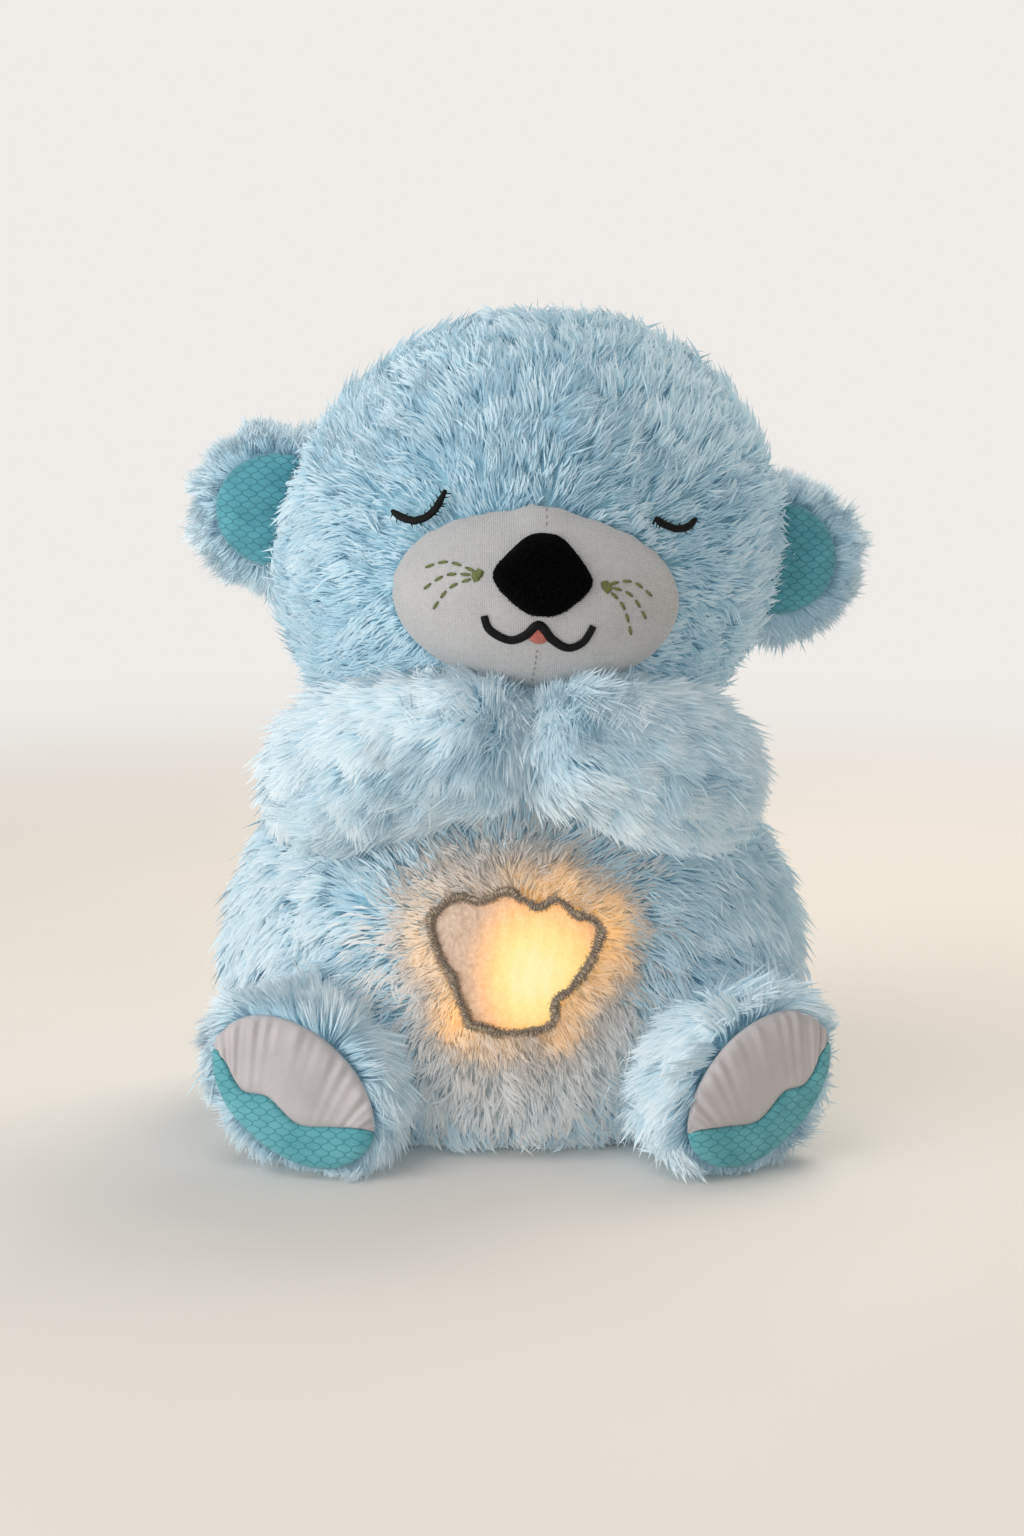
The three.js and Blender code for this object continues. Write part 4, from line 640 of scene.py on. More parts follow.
@dataclass(frozen=True)
class Fabric(TwoTone):
    """Plain cloth or tape with a visible weave."""

    weave: float = 500.0
    depth: float = 0.0004

    def build(self, n: Nodes) -> Material:
        """Fills in the material's nodes."""
        where = n.spot()
        weave = n.math("ADD", n.waves(where, "X", self.weave, 0.6), n.waves(where, "Y", self.weave, 0.6))
        fleck = n.noise(where, 800.0, 4.0)
        colour = n.ramp(fleck, [(0.3, self.dark), (0.7, self.light)])
        n.bump(n.math("ADD", n.math("MULTIPLY", weave, 0.4), fleck), self.depth, 0.7)
        return n.surface(colour, 0.93, Sheen_Weight=0.35)


# The head's pile is a darker copy of the body's pile below: painted shade over the head.
SHADED_HEAD_PILE = Pile("shaded_head_pile", "98c4d7", "b5d5e2", "e1edf3", "dee9ef", "ffffff")
BODY_PILE = Pile("body_pile", "a2cbdc", "c2dbe6", "ecf3f6", "dee9ee", "ffffff")
# The pale pile glows with painted lamp light by the window.
PALE_PILE = Pile("pale_pile", "d3dde2", "e1e8eb", "f0f4f5", "fafcfd", "eadcd3", "ffbb60")
# The backing's blue matches the pile's darker roots: partly the cloth's own colour, partly painted shade in
# the gaps between the locks.
BLUE_BACKING = Backing("blue_backing", "9fcadc", "8bbdd1")
BLACK_PILE = Pile("black_pile", "070708", "101012", "1e1e21", "d0d0d0", "ffffff", sheen=0.03, through=0.0)
GREY_FUZZ = Pile("grey_fuzz", "867a6c", "a8998a", "cdbfae", "d8d4d0", "ffffff", through=0.0)
BLACK_THREAD = Thread("black_thread", "0b0b0e", "030304", sheen=0.02)
OLIVE_THREAD = Thread("olive_thread", "6e7742", "474e25")
RED_FELT = Fabric("red_felt", "c06f63", "a05649")
SEAM_THREAD = Thread("seam_thread", "a09a97", "7c7674")
GREY_CORD = Twist("grey_cord", "a8998a", "564a40", 0.9 * MM)
WHIP_THREAD = Thread("whip_thread", "dccab0", "5d4f43", 2600.0, 0.15)
TEAL_SOLE = Lattice("teal_sole_print", 5.2 * MM, "519fab", "2a7f8d", "6ab5bf")
TEAL_EAR = Lattice("teal_ear_print", 5.0 * MM, "458f9f", "246c7b", "5aa9b7")
CREAM_SATIN = Satin()
WHITE_TAPE = Fabric("white_tape", "eef0f1", "cfd3d6", 900.0, 0.0006)


# Solids of the frame


class Solid:
    """A closed form that can tell what is inside it."""

    def __init__(self, spots: Array, faces: Array) -> None:
        """Keeps the form's faces and its box."""
        self.tree = BVHTree.FromPolygons(spots.tolist(), faces.tolist())
        self.low = spots.min(axis=0)
        self.high = spots.max(axis=0)

    @classmethod
    def of(cls, piece: Piece) -> "Solid":
        """A solid from an object's mesh."""
        return cls(places(piece.data), triangles(piece.data))

    def holds(self, spot: Vector) -> bool:
        """Whether a place lies inside, from how often a line out of it meets the form."""
        along = Vector((0.31, 0.83, 0.47)).normalized()
        most, step = 40, 1e-6
        crossings = 0
        hit, _, _, _ = self.tree.ray_cast(spot, along)
        while hit is not None and crossings < most:
            crossings += 1
            hit, _, _, _ = self.tree.ray_cast(hit + along * step, along)
        return crossings % 2 == 1

    def depth(self, spots: Array) -> Array:
        """How deep each place lies inside, negative outside."""
        result = np.full(len(spots), -1.0)
        margin = 2 * MM
        near = np.all((spots > self.low - margin) & (spots < self.high + margin), axis=1)
        for i in np.nonzero(near)[0]:
            spot = Vector(spots[i])
            distance = self.tree.find_nearest(spot)[3]
            result[i] = distance if self.holds(spot) else -distance
        return result

    def front(
        self, x: float, z: float, along: Vector = Vector((0, 1, 0)), start: Vector | None = None
    ) -> tuple[Vector, Vector]:
        """Place and outward normal where a line meets the form, or comes nearest to it.

        Args:
            x: Place across of a line that starts straight in front.
            z: Its height.
            along: Direction of the line.
            start: Where the line starts otherwise.
        """
        origin = start if start is not None else Vector((x, -1.0, z))
        hit, normal, _, _ = self.tree.ray_cast(origin, along)
        if hit is None:
            ways = np.linspace(100 * MM, 1200 * MM, 221)
            tries = [self.tree.find_nearest(origin + along * float(way)) for way in ways]
            hit, normal, _, _ = min(tries, key=lambda found: found[3])
        return hit, normal if normal.dot(along) < 0 else -normal


def stuffed(nodes: str, name: str, voxel: float, rounds: int, shrink: float = 0.0) -> Piece:
    """A smooth closed form on the solids of some nodes, as their stuffed cloth.

    Args:
        nodes: Nodes that give the form, with spaces between.
        name: Name of the new piece.
        voxel: Size of the new faces in metres.
        rounds: How many times the form is smoothed.
        shrink: How far it is drawn in along its normals, in metres.

    Returns:
        The new object.
    """
    parts = []
    for node in nodes.split():
        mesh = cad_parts[node].data.copy()
        mesh.materials.clear()
        part = bpy.data.objects.new(name, mesh)
        bpy.context.collection.objects.link(part)
        parts.append(part)
    piece = joined(name, parts)
    mend(piece, merge=True)
    half_way, steps = 0.5, 2
    modify(piece, "REMESH", mode="VOXEL", voxel_size=voxel, use_smooth_shade=True)
    sharp = places(piece.data)
    modify(piece, "SMOOTH", factor=half_way, iterations=rounds)
    soft, out = places(piece.data), directions(piece.data)
    lost = float(((sharp - soft) * out).sum(axis=1).mean())
    set_places(piece.data, soft + out * lost)
    if shrink:
        for _ in range(steps):
            set_places(piece.data, places(piece.data) - directions(piece.data) * shrink / steps)
        modify(piece, "SMOOTH", factor=half_way, iterations=steps)
    piece.data.polygons.foreach_set("use_smooth", np.ones(len(piece.data.polygons), bool))
    return piece


# Pile


@dataclass
class Coat:
    """A coat of locks rooted in a piece of stuffed cloth.

    Each lock is a closed bent blade that leans with the comb and gathers with its neighbours.
    """

    name: str
    locks: int
    length: float = 14.5 * MM
    width: float = 0.6 * MM
    rise: float = 36.0
    fall: float = 12.0
    clump: float = 4.0 * MM
    gather: float = 0.27
    curl: float = 1.5 * MM
    wild: float = 0.1
    mottle: float = 0.07
    seed: int = 1
    most_per_piece: int = 32000
    spare: float = 2.4
    plain_tint: float = 0.25
    root_depth: float = 1.0 * MM
    floor_gap: float = 0.6 * MM
    reaches: tuple[float, ...] = (0.02, 0.36, 0.62, 0.5, 0.98)
    least_facing: float = 0.65

    def grow(
        self, skin: Piece, comb: Field, keep: Field | None = None, scale: Field | None = None,
        tint: Field | None = None, zone: Zone | None = None,
    ) -> list[Piece]:
        """Plants the locks.

        Args:
            skin: The cloth they are rooted in.
            comb: Gives each lock's direction from places and normals.
            keep: Gives the share of its length that a lock keeps at each place, or False for none.
            scale: Gives the share of the full length at each place.
            tint: Gives the level from 0 to 1 that the finish reads.
            zone: The part of the cloth that is planted at all.

        Returns:
            The pieces that hold the locks.
        """
        rng = np.random.default_rng(self.seed)
        p, n = self.scatter(skin, rng, int(self.locks * self.spare), zone)
        share = np.ones(len(p)) if keep is None else np.asarray(keep(p, n), float)
        kept = np.nonzero(share > 0)[0][: self.locks]
        p, n, share = p[kept], n[kept], share[kept]
        if scale is not None:
            share = share * scale(p, n)
        path = self.bend(p, n, comb, share, rng)
        level = np.full(len(p), self.plain_tint) if tint is None else tint(p, n)
        level = np.clip(level + rng.normal(0, self.mottle, len(p)), 0.02, 0.98)
        pieces = []
        for part, start in enumerate(range(0, len(p), self.most_per_piece)):
            rows = slice(start, start + self.most_per_piece)
            pieces.append(self.blades(f"{self.name}_{part + 1}", *(a[rows] for a in path), level[rows]))
        return pieces

    def dress(self, skin: Piece, body: str, slot: str, finish: Finish, *fields: Field | None) -> None:
        """Plants the locks by grow's fields and fixes them to a body."""
        for piece in self.grow(skin, *fields):
            settle(piece, body, finish)

    def scatter(
        self, skin: Piece, rng: np.random.Generator, count: int, zone: Zone | None
    ) -> tuple[Array, Array]:
        """Random places and normals spread evenly over a cloth or a zone of it."""
        index = triangles(skin.data)
        spots, normals = places(skin.data), directions(skin.data)
        a, b, c = (spots[index[:, i]] for i in range(3))
        area = np.linalg.norm(np.cross(b - a, c - a), axis=1)
        if zone is not None:
            area = area * zone((a + b + c) / 3)
        picked = rng.choice(len(index), count, p=area / area.sum())
        u, v = rng.random(count), rng.random(count)
        over = u + v > 1
        u[over], v[over] = 1 - u[over], 1 - v[over]
        w = np.stack([1 - u - v, u, v], axis=1)[:, :, None]
        return (spots[index[picked]] * w).sum(axis=1), unit((normals[index[picked]] * w).sum(axis=1))

    def bend(
        self, p: Array, n: Array, comb: Field, share: Array, rng: np.random.Generator
    ) -> tuple[Array, ...]:
        """Paths of the locks: root, middle and tip, with side and normal.

        Args:
            p: Roots.
            n: Normals at the roots.
            comb: Direction field.
            share: Share of its length that each lock has.
            rng: Source of chance.

        Returns:
            Roots, middles, tips, side directions, normals and widths.
        """
        count = len(p)
        centres = p[rng.choice(count, max(count // max(self.crowd(p), 1), 1), replace=False)]
        clumps = len(centres)
        tree = KDTree(clumps)
        for i, centre in enumerate(centres):
            tree.insert(centre, i)
        tree.balance()
        owner = np.array([tree.find(q)[1] for q in p])
        flow = comb(p, n)
        t = unit(flow - n * (flow * n).sum(axis=1, keepdims=True))
        turn = rng.normal(0, 0.3, clumps)[owner] + rng.normal(0, 0.2, count)
        t = t * np.cos(turn)[:, None] + np.cross(n, t) * np.sin(turn)[:, None]
        side = np.cross(n, t)
        is_wild = rng.random(count) < self.wild
        size = rng.uniform(0.78, 1.15, clumps)[owner] * rng.uniform(0.8, 1.12, count)
        length = self.length * size * np.where(is_wild, 1.15, 1.0) * share

        def lean(angle: float, by_clump: float, by_lock: float, by_wild: float) -> Array:
            """Directions raised off the cloth by an angle in degrees, uneven by clump and by lock."""
            uneven = rng.normal(0, by_clump, clumps)[owner] + rng.normal(0, by_lock, count)
            raised = np.radians(angle + uneven + is_wild * by_wild)[:, None]
            return t * np.cos(raised) + n * np.sin(raised)

        first, second = lean(self.rise, 4, 6, 5), lean(self.fall, 5, 5, 9)
        wave = self.curl * np.sin(rng.uniform(0, 6.3, clumps))[owner] * (length / self.length)
        middle = p + first * (length * 0.5)[:, None] + side * wave[:, None]
        tip = middle + second * (length * 0.55)[:, None] - side * (wave * 0.8)[:, None]
        together = self.gather * rng.uniform(0.5, 1.15, count) * np.where(is_wild, 0.25, 1.0)
        sums = np.zeros((clumps, 3))
        many = np.bincount(owner, minlength=clumps)[:, None]
        for target, pull in ((tip, together), (middle, together * 0.35)):
            sums[:] = 0
            np.add.at(sums, owner, target)
            target += (sums[owner] / many[owner] - target) * pull[:, None]
            target[:, 2] = np.maximum(target[:, 2], self.floor_gap)
        width = self.width * rng.uniform(0.7, 1.25, count) * np.where(is_wild, 0.45, 1.0)
        return p - n * self.root_depth, middle, tip, side, n, width

    def crowd(self, p: Array) -> int:
        """How many locks share a clump, from the room that each has."""
        probes = 400
        sample = p[:: max(len(p) // probes, 1)]
        tree = KDTree(len(p))
        for i, q in enumerate(p):
            tree.insert(q, i)
        tree.balance()
        near = [len(tree.find_range(q, self.clump)) for q in sample]
        return int(np.mean(near) / 2)

    def blades(
        self, name: str, root: Array, middle: Array, tip: Array, side: Array, normal: Array, width: Array,
        level: Array,
    ) -> Piece:
        """Closed bent spindles of six faces each."""
        along = unit(tip - root)
        side = unit(np.cross(along, normal))
        up = np.cross(side, along)
        half = side * (width / 2)[:, None]

        def at(t: float) -> Array:
            """Places at a share of the way from root to tip."""
            return root * ((1 - t) * (1 - 2 * t)) + middle * (4 * t * (1 - t)) + tip * (t * (2 * t - 1))

        corners, ridge_height, tint_step, tint_edge, tilt_gain = 5, 0.42, 0.006, 0.005, 40
        out_share, up_share, least = 0.75, 0.35, 1e-15
        reach = np.array(self.reaches)
        ridge = middle + up * (width * ridge_height)[:, None]
        spots = np.stack([root, at(reach[1]) - half, at(reach[2]) + half, ridge, tip], axis=1)
        faces = np.array([[0, 3, 1], [0, 2, 3], [4, 1, 3], [4, 3, 2], [0, 1, 2], [4, 2, 1]])
        every = (np.arange(len(root)) * corners)[:, None, None] + faces[None]
        piece = mesh_piece(name, spots.reshape(-1, 3), every.reshape(-1, 3))
        spread = np.array([0.0, -tint_step, tint_step, 0.0, 0.0])
        tints = np.clip(level[:, None] + spread, tint_edge, 1 - tint_edge)
        pairs = np.stack([tints, np.broadcast_to(reach, tints.shape)], axis=2)
        write_map(piece.data, "OFBake", pairs.reshape(-1, 2))
        tilt = (spread * tilt_gain)[None, :, None]
        soft = unit(normal[:, None] * out_share + up[:, None] * up_share + side[:, None] * tilt)
        corner = spots[:, faces]
        flat = np.cross(corner[:, :, 1] - corner[:, :, 0], corner[:, :, 2] - corner[:, :, 0])
        flat /= np.maximum(np.linalg.norm(flat, axis=2, keepdims=True), least)
        seen = soft[:, faces]
        facing = (seen * flat[:, :, None]).sum(axis=3, keepdims=True)
        turned = np.abs(facing)
        seen = seen + flat[:, :, None] * (turned - facing + np.maximum(self.least_facing - turned, 0))
        piece.data.normals_split_custom_set(seen.reshape(-1, 3).astype(np.float32))
        return piece


# Cloth patches and cords on a form


def patch(
    name: str, rings: Array, out: Array, thickness: float, cloth: Array | None = None
) -> Piece:
    """A closed sheet over a round grid.

    Args:
        name: Name of the piece.
        rings: Front places, by ring from the middle to the edge and by side.
        out: Outward direction at each of these places.
        thickness: How thick the sheet is at its back.
        cloth: Pairs of numbers per place for the map "Cloth".

    Returns:
        The object.
    """
    count, sides = rings.shape[:2]
    back = rings - out * thickness
    middle = rings[0].mean(axis=0)
    under = back[0].mean(axis=0)
    spots = np.concatenate([rings.reshape(-1, 3), back.reshape(-1, 3), [middle], [under]])
    base = count * sides
    faces: list[tuple[int, ...]] = []
    for s in range(sides):
        e = (s + 1) % sides
        for r in range(count - 1):
            a, b, c, d = r * sides + s, r * sides + e, (r + 1) * sides + e, (r + 1) * sides + s
            faces.append((a, b, c, d))
            faces.append((base + d, base + c, base + b, base + a))
        last = (count - 1) * sides
        faces.append((last + s, last + e, base + last + e, base + last + s))
        faces.append((s, 2 * base, e))
        faces.append((base + e, 2 * base + 1, base + s))
    piece = mesh_piece(name, spots, faces)
    mend(piece, turn_out=True)
    if cloth is not None:
        flat = cloth.reshape(-1, 2)
        pairs = np.concatenate([flat, flat, [cloth[0].mean(axis=0)] * 2])
        write_map(piece.data, "Cloth", pairs)
    return piece


def tube(
    name: str, line: Array, out: Array, width: Array, height: Array, sides: int = 8, is_loop: bool = False
) -> Piece:
    """A closed tube along a line that lies on a surface.

    Args:
        name: Name of the piece.
        line: Places along its middle.
        out: Outward direction at each place.
        width: Half width at each place.
        height: Half height at each place.
        sides: How many corners its section has.
        is_loop: Whether its ends meet.

    Returns:
        The object, with the run along it in the map "Run".
    """
    if is_loop:
        ahead = np.roll(line, -1, axis=0) - np.roll(line, 1, axis=0)
    else:
        ahead = np.gradient(line, axis=0)
    travel = unit(ahead)
    side = unit(np.cross(travel, out))
    up = np.cross(side, travel)
    angle = np.arange(sides) * TURN / sides
    spots = (
        line[:, None]
        + side[:, None] * (np.cos(angle)[None] * width[:, None])[:, :, None]
        + up[:, None] * (np.sin(angle)[None] * height[:, None])[:, :, None]
    )
    count = len(line)
    run = run_along(line)
    flat = spots.reshape(-1, 3)
    pairs = np.stack([np.repeat(run, sides), np.tile(angle / TURN, count)], axis=1)
    faces: list[tuple[int, ...]] = []
    for r in range(count if is_loop else count - 1):
        for s in range(sides):
            e = (s + 1) % sides
            nxt = (r + 1) % count
            faces.append((r * sides + s, nxt * sides + s, nxt * sides + e, r * sides + e))
    if not is_loop:
        faces.append(tuple(range(sides)))
        faces.append(tuple(reversed(range((count - 1) * sides, count * sides))))
    piece = mesh_piece(name, flat, faces)
    mend(piece, turn_out=True)
    write_map(piece.data, "Run", pairs)
    return piece


def joined(name: str, parts: Sequence[Piece]) -> Piece:
    """Joins objects into one."""
    only(parts[0])
    if len(parts) > 1:
        for part in parts:
            part.select_set(True)
        bpy.ops.object.join()
    parts[0].name = name
    parts[0].data.name = name
    return parts[0]


def curve_through(points: Sequence[Sequence[float]], steps: int, is_loop: bool = False) -> Array:
    """Places on a smooth line through points, with the same count of steps in each span."""
    p = np.array(points, float)
    count = len(p)
    spans = count if is_loop else count - 1

    def at(i: int) -> Array:
        """A point by number, held at the ends or taken round the loop."""
        return p[i % count] if is_loop else p[min(max(i, 0), count - 1)]

    rows = []
    for i in range(spans):
        a, b, c, d = at(i - 1), at(i), at(i + 1), at(i + 2)
        for k in range(steps):
            f = k / steps
            square, cube = 2 * a - 5 * b + 4 * c - d, 3 * b - a - 3 * c + d
            rows.append(0.5 * (2 * b + (c - a) * f + square * f * f + cube * f**3))
    if not is_loop:
        rows.append(p[-1])
    return np.array(rows)


# The toy's main forms


class Side(Enum):
    """Which side of the toy, as the viewer sees it."""

    LEFT = -1
    RIGHT = 1

    @property
    def word(self) -> str:
        """The side's name in lower case."""
        return self.name.lower()


class Toy:
    """The CAD solids, read once, that the coats and cloths sit on."""

    furry = "torso tail head ear_left ear_right arm_left arm_right leg_left leg_right".split()
    bare = (
        "muzzle inner_ear_left inner_ear_right sole_cream_left sole_cream_right "
        "sole_teal_left sole_teal_right window_panel"
    ).split()
    pile_depth = 3.6 * MM
    short_share = 0.42
    short_chance = 0.6
    least_cover = 0.5 * MM
    bare_margin = 0.8 * MM
    tips = (8 * MM, 12 * MM)
    tip_lift = 5 * MM
    short_tips = (3 * MM, 6 * MM)
    short_lift = 3 * MM

    def __init__(self) -> None:
        """Reads the solids."""
        self.solids = {name: Solid.of(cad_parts[name]) for name in (*self.furry, *self.bare)}

    def covered(self, own: Sequence[str], spots: Array, normals: Array, stand: float = 6 * MM) -> Array:
        """Which places have a piece over them that isn't their own, tested a little above them."""
        result = np.zeros(len(spots), bool)
        above = spots + normals * stand
        for name, solid in self.solids.items():
            if name not in own:
                result |= solid.depth(above) > self.least_cover
        return result

    def room(
        self, own: Sequence[str], fixed: Sequence[str], spots: Array, normals: Array, comb: Array
    ) -> Array:
        """Share of its length that a lock keeps at each place.

        Args:
            own: Nodes that don't count.
            fixed: Nodes that never move off this cloth, under which no lock grows.
            spots: Places on a cloth.
            normals: Normals there.
            comb: Directions of the locks.

        Returns:
            1 in the open, a short share under a piece that moves, and 0 where there is no room.
        """
        moving = [name for name in self.solids if name not in own and name not in fixed]
        by_bare = self.pokes(own, spots, normals, comb, self.tips, self.tip_lift)
        share = np.where(by_bare, self.short_share, 1.0)
        shaded = self.covered((*own, *fixed), spots, normals)
        thinned = np.where(chance(spots, 91) < self.short_chance, self.short_share, 0.0)
        share[shaded] = thinned[shaded]
        share[self.covered((*own, *moving), spots, normals)] = 0
        share[self.pokes(own, spots, normals, comb, self.short_tips, self.short_lift)] = 0
        return share

    def pokes(
        self, own: Sequence[str], spots: Array, normals: Array, comb: Array, reaches: Sequence[float],
        lift: float,
    ) -> Array:
        """Which locks would come out through a bare cloth, tested along the comb."""
        result = np.zeros(len(spots), bool)
        flow = unit(comb - normals * (comb * normals).sum(axis=1, keepdims=True))
        for reach in reaches:
            ahead = spots + flow * reach + normals * lift
            for name in self.bare:
                if name not in own:
                    result |= self.solids[name].depth(ahead) > -self.bare_margin
        return result


@dataclass
class HeadFrame:
    """Where the head leans and turns, in the toy's frame."""

    centre: Vector = field(default_factory=lambda: Vector((5.4, -5.0, 199.45)) * MM)
    lean: float = 4.5
    turn: float = 3.0
    ahead: float = 400 * MM

    def matrix(self) -> Matrix:
        """From the head's frame to the toy's."""
        lean = Matrix.Rotation(math.radians(self.lean), 4, "Y")
        turn = Matrix.Rotation(math.radians(self.turn), 4, "Z")
        return Matrix.Translation(self.centre) @ lean @ turn

    def on(self, solid: Solid, x: float, z: float) -> tuple[Vector, Vector]:
        """Place and normal on a form, seen from the head's front, at x and z in its frame."""
        matrix = self.matrix()
        along = (matrix.to_3x3() @ Vector((0, 1, 0))).normalized()
        return solid.front(0, 0, along, matrix @ Vector((x, -self.ahead, z)))

    def line(self, solid: Solid, points: Array, stand: float) -> tuple[Array, Array]:
        """A line of places on a form with their normals, held a little above it."""
        spots, normals = [], []
        for x, z in points:
            spot, normal = self.on(solid, x, z)
            spots.append(spot + normal * stand)
            normals.append(normal)
        return np.array(spots), np.array(normals)


@dataclass
class TorsoLooks:
    """Stuffed torso with its coat, the pale belly and the tail."""

    toy: Toy
    locks: int = 57000
    belly_locks: int = 26000
    tail_locks: int = 5000
    halo_locks: int = 12000
    belly_wobble: float = 0.07
    ragged_from: float = 0.7
    ragged_width: float = 0.6
    halo_reach: float = 13 * MM
    halo_zone: float = 16 * MM
    # Directions in which the painted lamp light reaches further round the window: angle, spread and share.
    beams: tuple[tuple[float, float, float], ...] = (
        (12, 30, 0.85), (-140, 26, 0.85), (68, 26, 0.6), (-45, 34, 0.5), (175, 24, 0.35),
    )

    def in_belly(self, p: Array, spread: float = 0.0) -> Array:
        """Share from 0 at the middle of the belly patch to 1 at its edge."""
        x = (p[:, 0] - BELLY_MIDDLE[0]) / BELLY_HALF[0]
        z = (p[:, 2] - BELLY_MIDDLE[1]) / BELLY_HALF[1]
        wobble = 1 + spread * ripple(p, 22 * MM, 5)
        return np.where(p[:, 1] < 0, np.hypot(x, z) * wobble, 9.0)

    def comb(self, p: Array, n: Array) -> Array:
        """Away from the window in front, down at the sides and back."""
        away = p - WINDOW_SPOT
        away[:, 1] *= 0.3
        near = unit(away)
        far = smooth(25 * MM, 95 * MM, np.linalg.norm(away, axis=1))[:, None]
        down = np.array((0.0, -0.05, -1.0))
        behind = smooth(-10 * MM, 35 * MM, p[:, 1])[:, None]
        below = smooth(26 * MM, 0, away[:, 2])[:, None]
        flow = near * (1 - 0.65 * far) + down * (0.1 + 0.35 * below + 0.45 * far)
        return flow * (1 - behind) + down * behind + swirl(p, 60 * MM, 11) * 0.34

    def build(self) -> None:
        """Makes the torso, the belly and the tail."""
        skin = stuffed("torso belly_patch", "torso_cloth", 3.2 * MM, 6, Toy.pile_depth)
        under_window = self.under_window()

        def room(p: Array, n: Array) -> Array:
            """Share of a lock's length, none on the seat and under the window."""
            floor = (p[:, 2] < 6 * MM) & (n[:, 2] < -0.55)
            share = self.toy.room(("torso", "tail"), ("window_panel",), p, n, self.comb(p, n))
            return np.where(floor | under_window(p), 0, share)

        def scale(p: Array, n: Array) -> Array:
            """Shorter next to the floor and by the window."""
            gap = np.linalg.norm((p - WINDOW_SPOT)[:, [0, 2]], axis=1)
            near = np.where(p[:, 1] < 0, smooth(24 * MM, 52 * MM, gap), 1.0)
            return (0.5 + 0.5 * near) * (0.6 + 0.4 * smooth(0, 14 * MM, p[:, 2]))

        def glow(p: Array, n: Array) -> Array:
            """Painted lamp light: from cool white to cream towards the window, and above a half its warm
            glow.
            """
            gap = self.by_window(p)
            offset = p - WINDOW_SPOT
            angle = np.degrees(np.arctan2(offset[:, 2], offset[:, 0]))
            bias = np.full(len(p), 0.2)
            for middle, spread, share in self.beams:
                turn = (angle - middle + 180) % 360 - 180
                bias += share * np.exp(-((turn / spread) ** 2))
            warm = smooth(17 * MM, 2 * MM, gap) * bias
            cream = smooth(27 * MM, 4 * MM, gap)
            return 0.12 + 0.06 * ripple(p, 14 * MM, 21) + 0.33 * cream + 0.36 * warm

        def blue_side(p: Array, n: Array) -> Array:
            """Room outside the belly's ragged edge."""
            return room(p, n) * (self.in_belly(p, self.belly_wobble) > self.ragged(p, 15))

        def pale_side(p: Array, n: Array) -> Array:
            """Room inside the belly's ragged edge."""
            return room(p, n) * (self.in_belly(p, self.belly_wobble) <= self.ragged(p, 16))

        def round_window(p: Array, n: Array) -> Array:
            """Free places next to the window's edge."""
            taken = under_window(p) | self.toy.covered(("torso", "tail", "window_panel"), p, n)
            return ~taken & (self.by_window(p) < self.halo_reach)

        coat = Coat("torso_coat", self.locks, seed=3)
        coat.dress(skin, "torso", "fur", BODY_PILE, self.comb, blue_side, scale, self.tint)
        pale = Coat(
            "belly_coat", self.belly_locks, length=12 * MM, width=0.5 * MM, rise=32, fall=9,
            clump=3.2 * MM, gather=0.2, mottle=0.03, seed=4,
        )
        pieces = pale.grow(skin, self.comb, pale_side, scale, glow, lambda p: self.in_belly(p) < 1.4)
        halo = Coat(
            "window_halo", self.halo_locks, length=6.5 * MM, width=0.38 * MM, rise=30, fall=4,
            clump=2.4 * MM, gather=0.15, curl=0.8 * MM, mottle=0.03, seed=14,
        )
        bed = stuffed("torso window_panel belly_patch", "halo_bed", 3 * MM, 14, 1.4 * MM)
        pieces += halo.grow(
            bed, self.comb, round_window, None, glow, lambda p: self.by_window(p) < self.halo_zone
        )
        bpy.data.objects.remove(bed)
        for i, piece in enumerate(pieces):
            settle(piece, "torso", PALE_PILE, ("belly_patch",) if i == 0 else ())
        # Its blue, like the blue backing's, is partly painted shade in the gaps between the locks.
        settle(skin, "torso", BellyBacking("torso_backing", "9fcadc", "8bbdd1"), ("torso",))
        self.tail()

    def ragged(self, p: Array, seed: int) -> Array:
        """The belly's uneven edge, in the shares of in_belly."""
        return self.ragged_from + self.ragged_width * chance(p, seed)

    def by_window(self, p: Array) -> Array:
        """Distance from the window's edge, seen from the front."""
        edge = Window().outline()
        gaps = np.full(len(p), 1.0)
        front = p[:, 1] < -30 * MM
        flat = p[front][:, [0, 2]]
        gaps[front] = np.sqrt(((flat[:, None] - edge[None, ::3]) ** 2).sum(axis=2)).min(axis=1)
        return gaps

    def under_window(self) -> Zone:
        """Tells which places lie under the window."""
        outline = Window().outline(-2.5 * MM)

        def inside(p: Array) -> Array:
            """True under the window's cloth."""
            x, z = p[:, 0], p[:, 2]
            odd = np.zeros(len(p), bool)
            for a, b in zip(outline, np.roll(outline, -1, axis=0)):
                crosses = (a[1] > z) != (b[1] > z)
                with np.errstate(divide="ignore", invalid="ignore"):
                    at = a[0] + (z - a[1]) / (b[1] - a[1]) * (b[0] - a[0])
                odd ^= crosses & (x < at)
            return odd & (p[:, 1] < -40 * MM)

        return inside

    @staticmethod
    def tint(p: Array, n: Array) -> Array:
        """Soft changes of tint over the coat."""
        return 0.27 + 0.12 * ripple(p, 12 * MM, 31) + 0.08 * ripple(p, 45 * MM, 32)

    def tail(self) -> None:
        """The short tail behind the seat."""
        skin = stuffed("tail", "tail_cloth", 2.5 * MM, 4, 4 * MM)

        def comb(p: Array, n: Array) -> Array:
            """Backward, a little to the sides."""
            flow = np.zeros_like(p)
            flow[:, 1] = 1
            flow[:, 0] = p[:, 0] * 12
            return flow

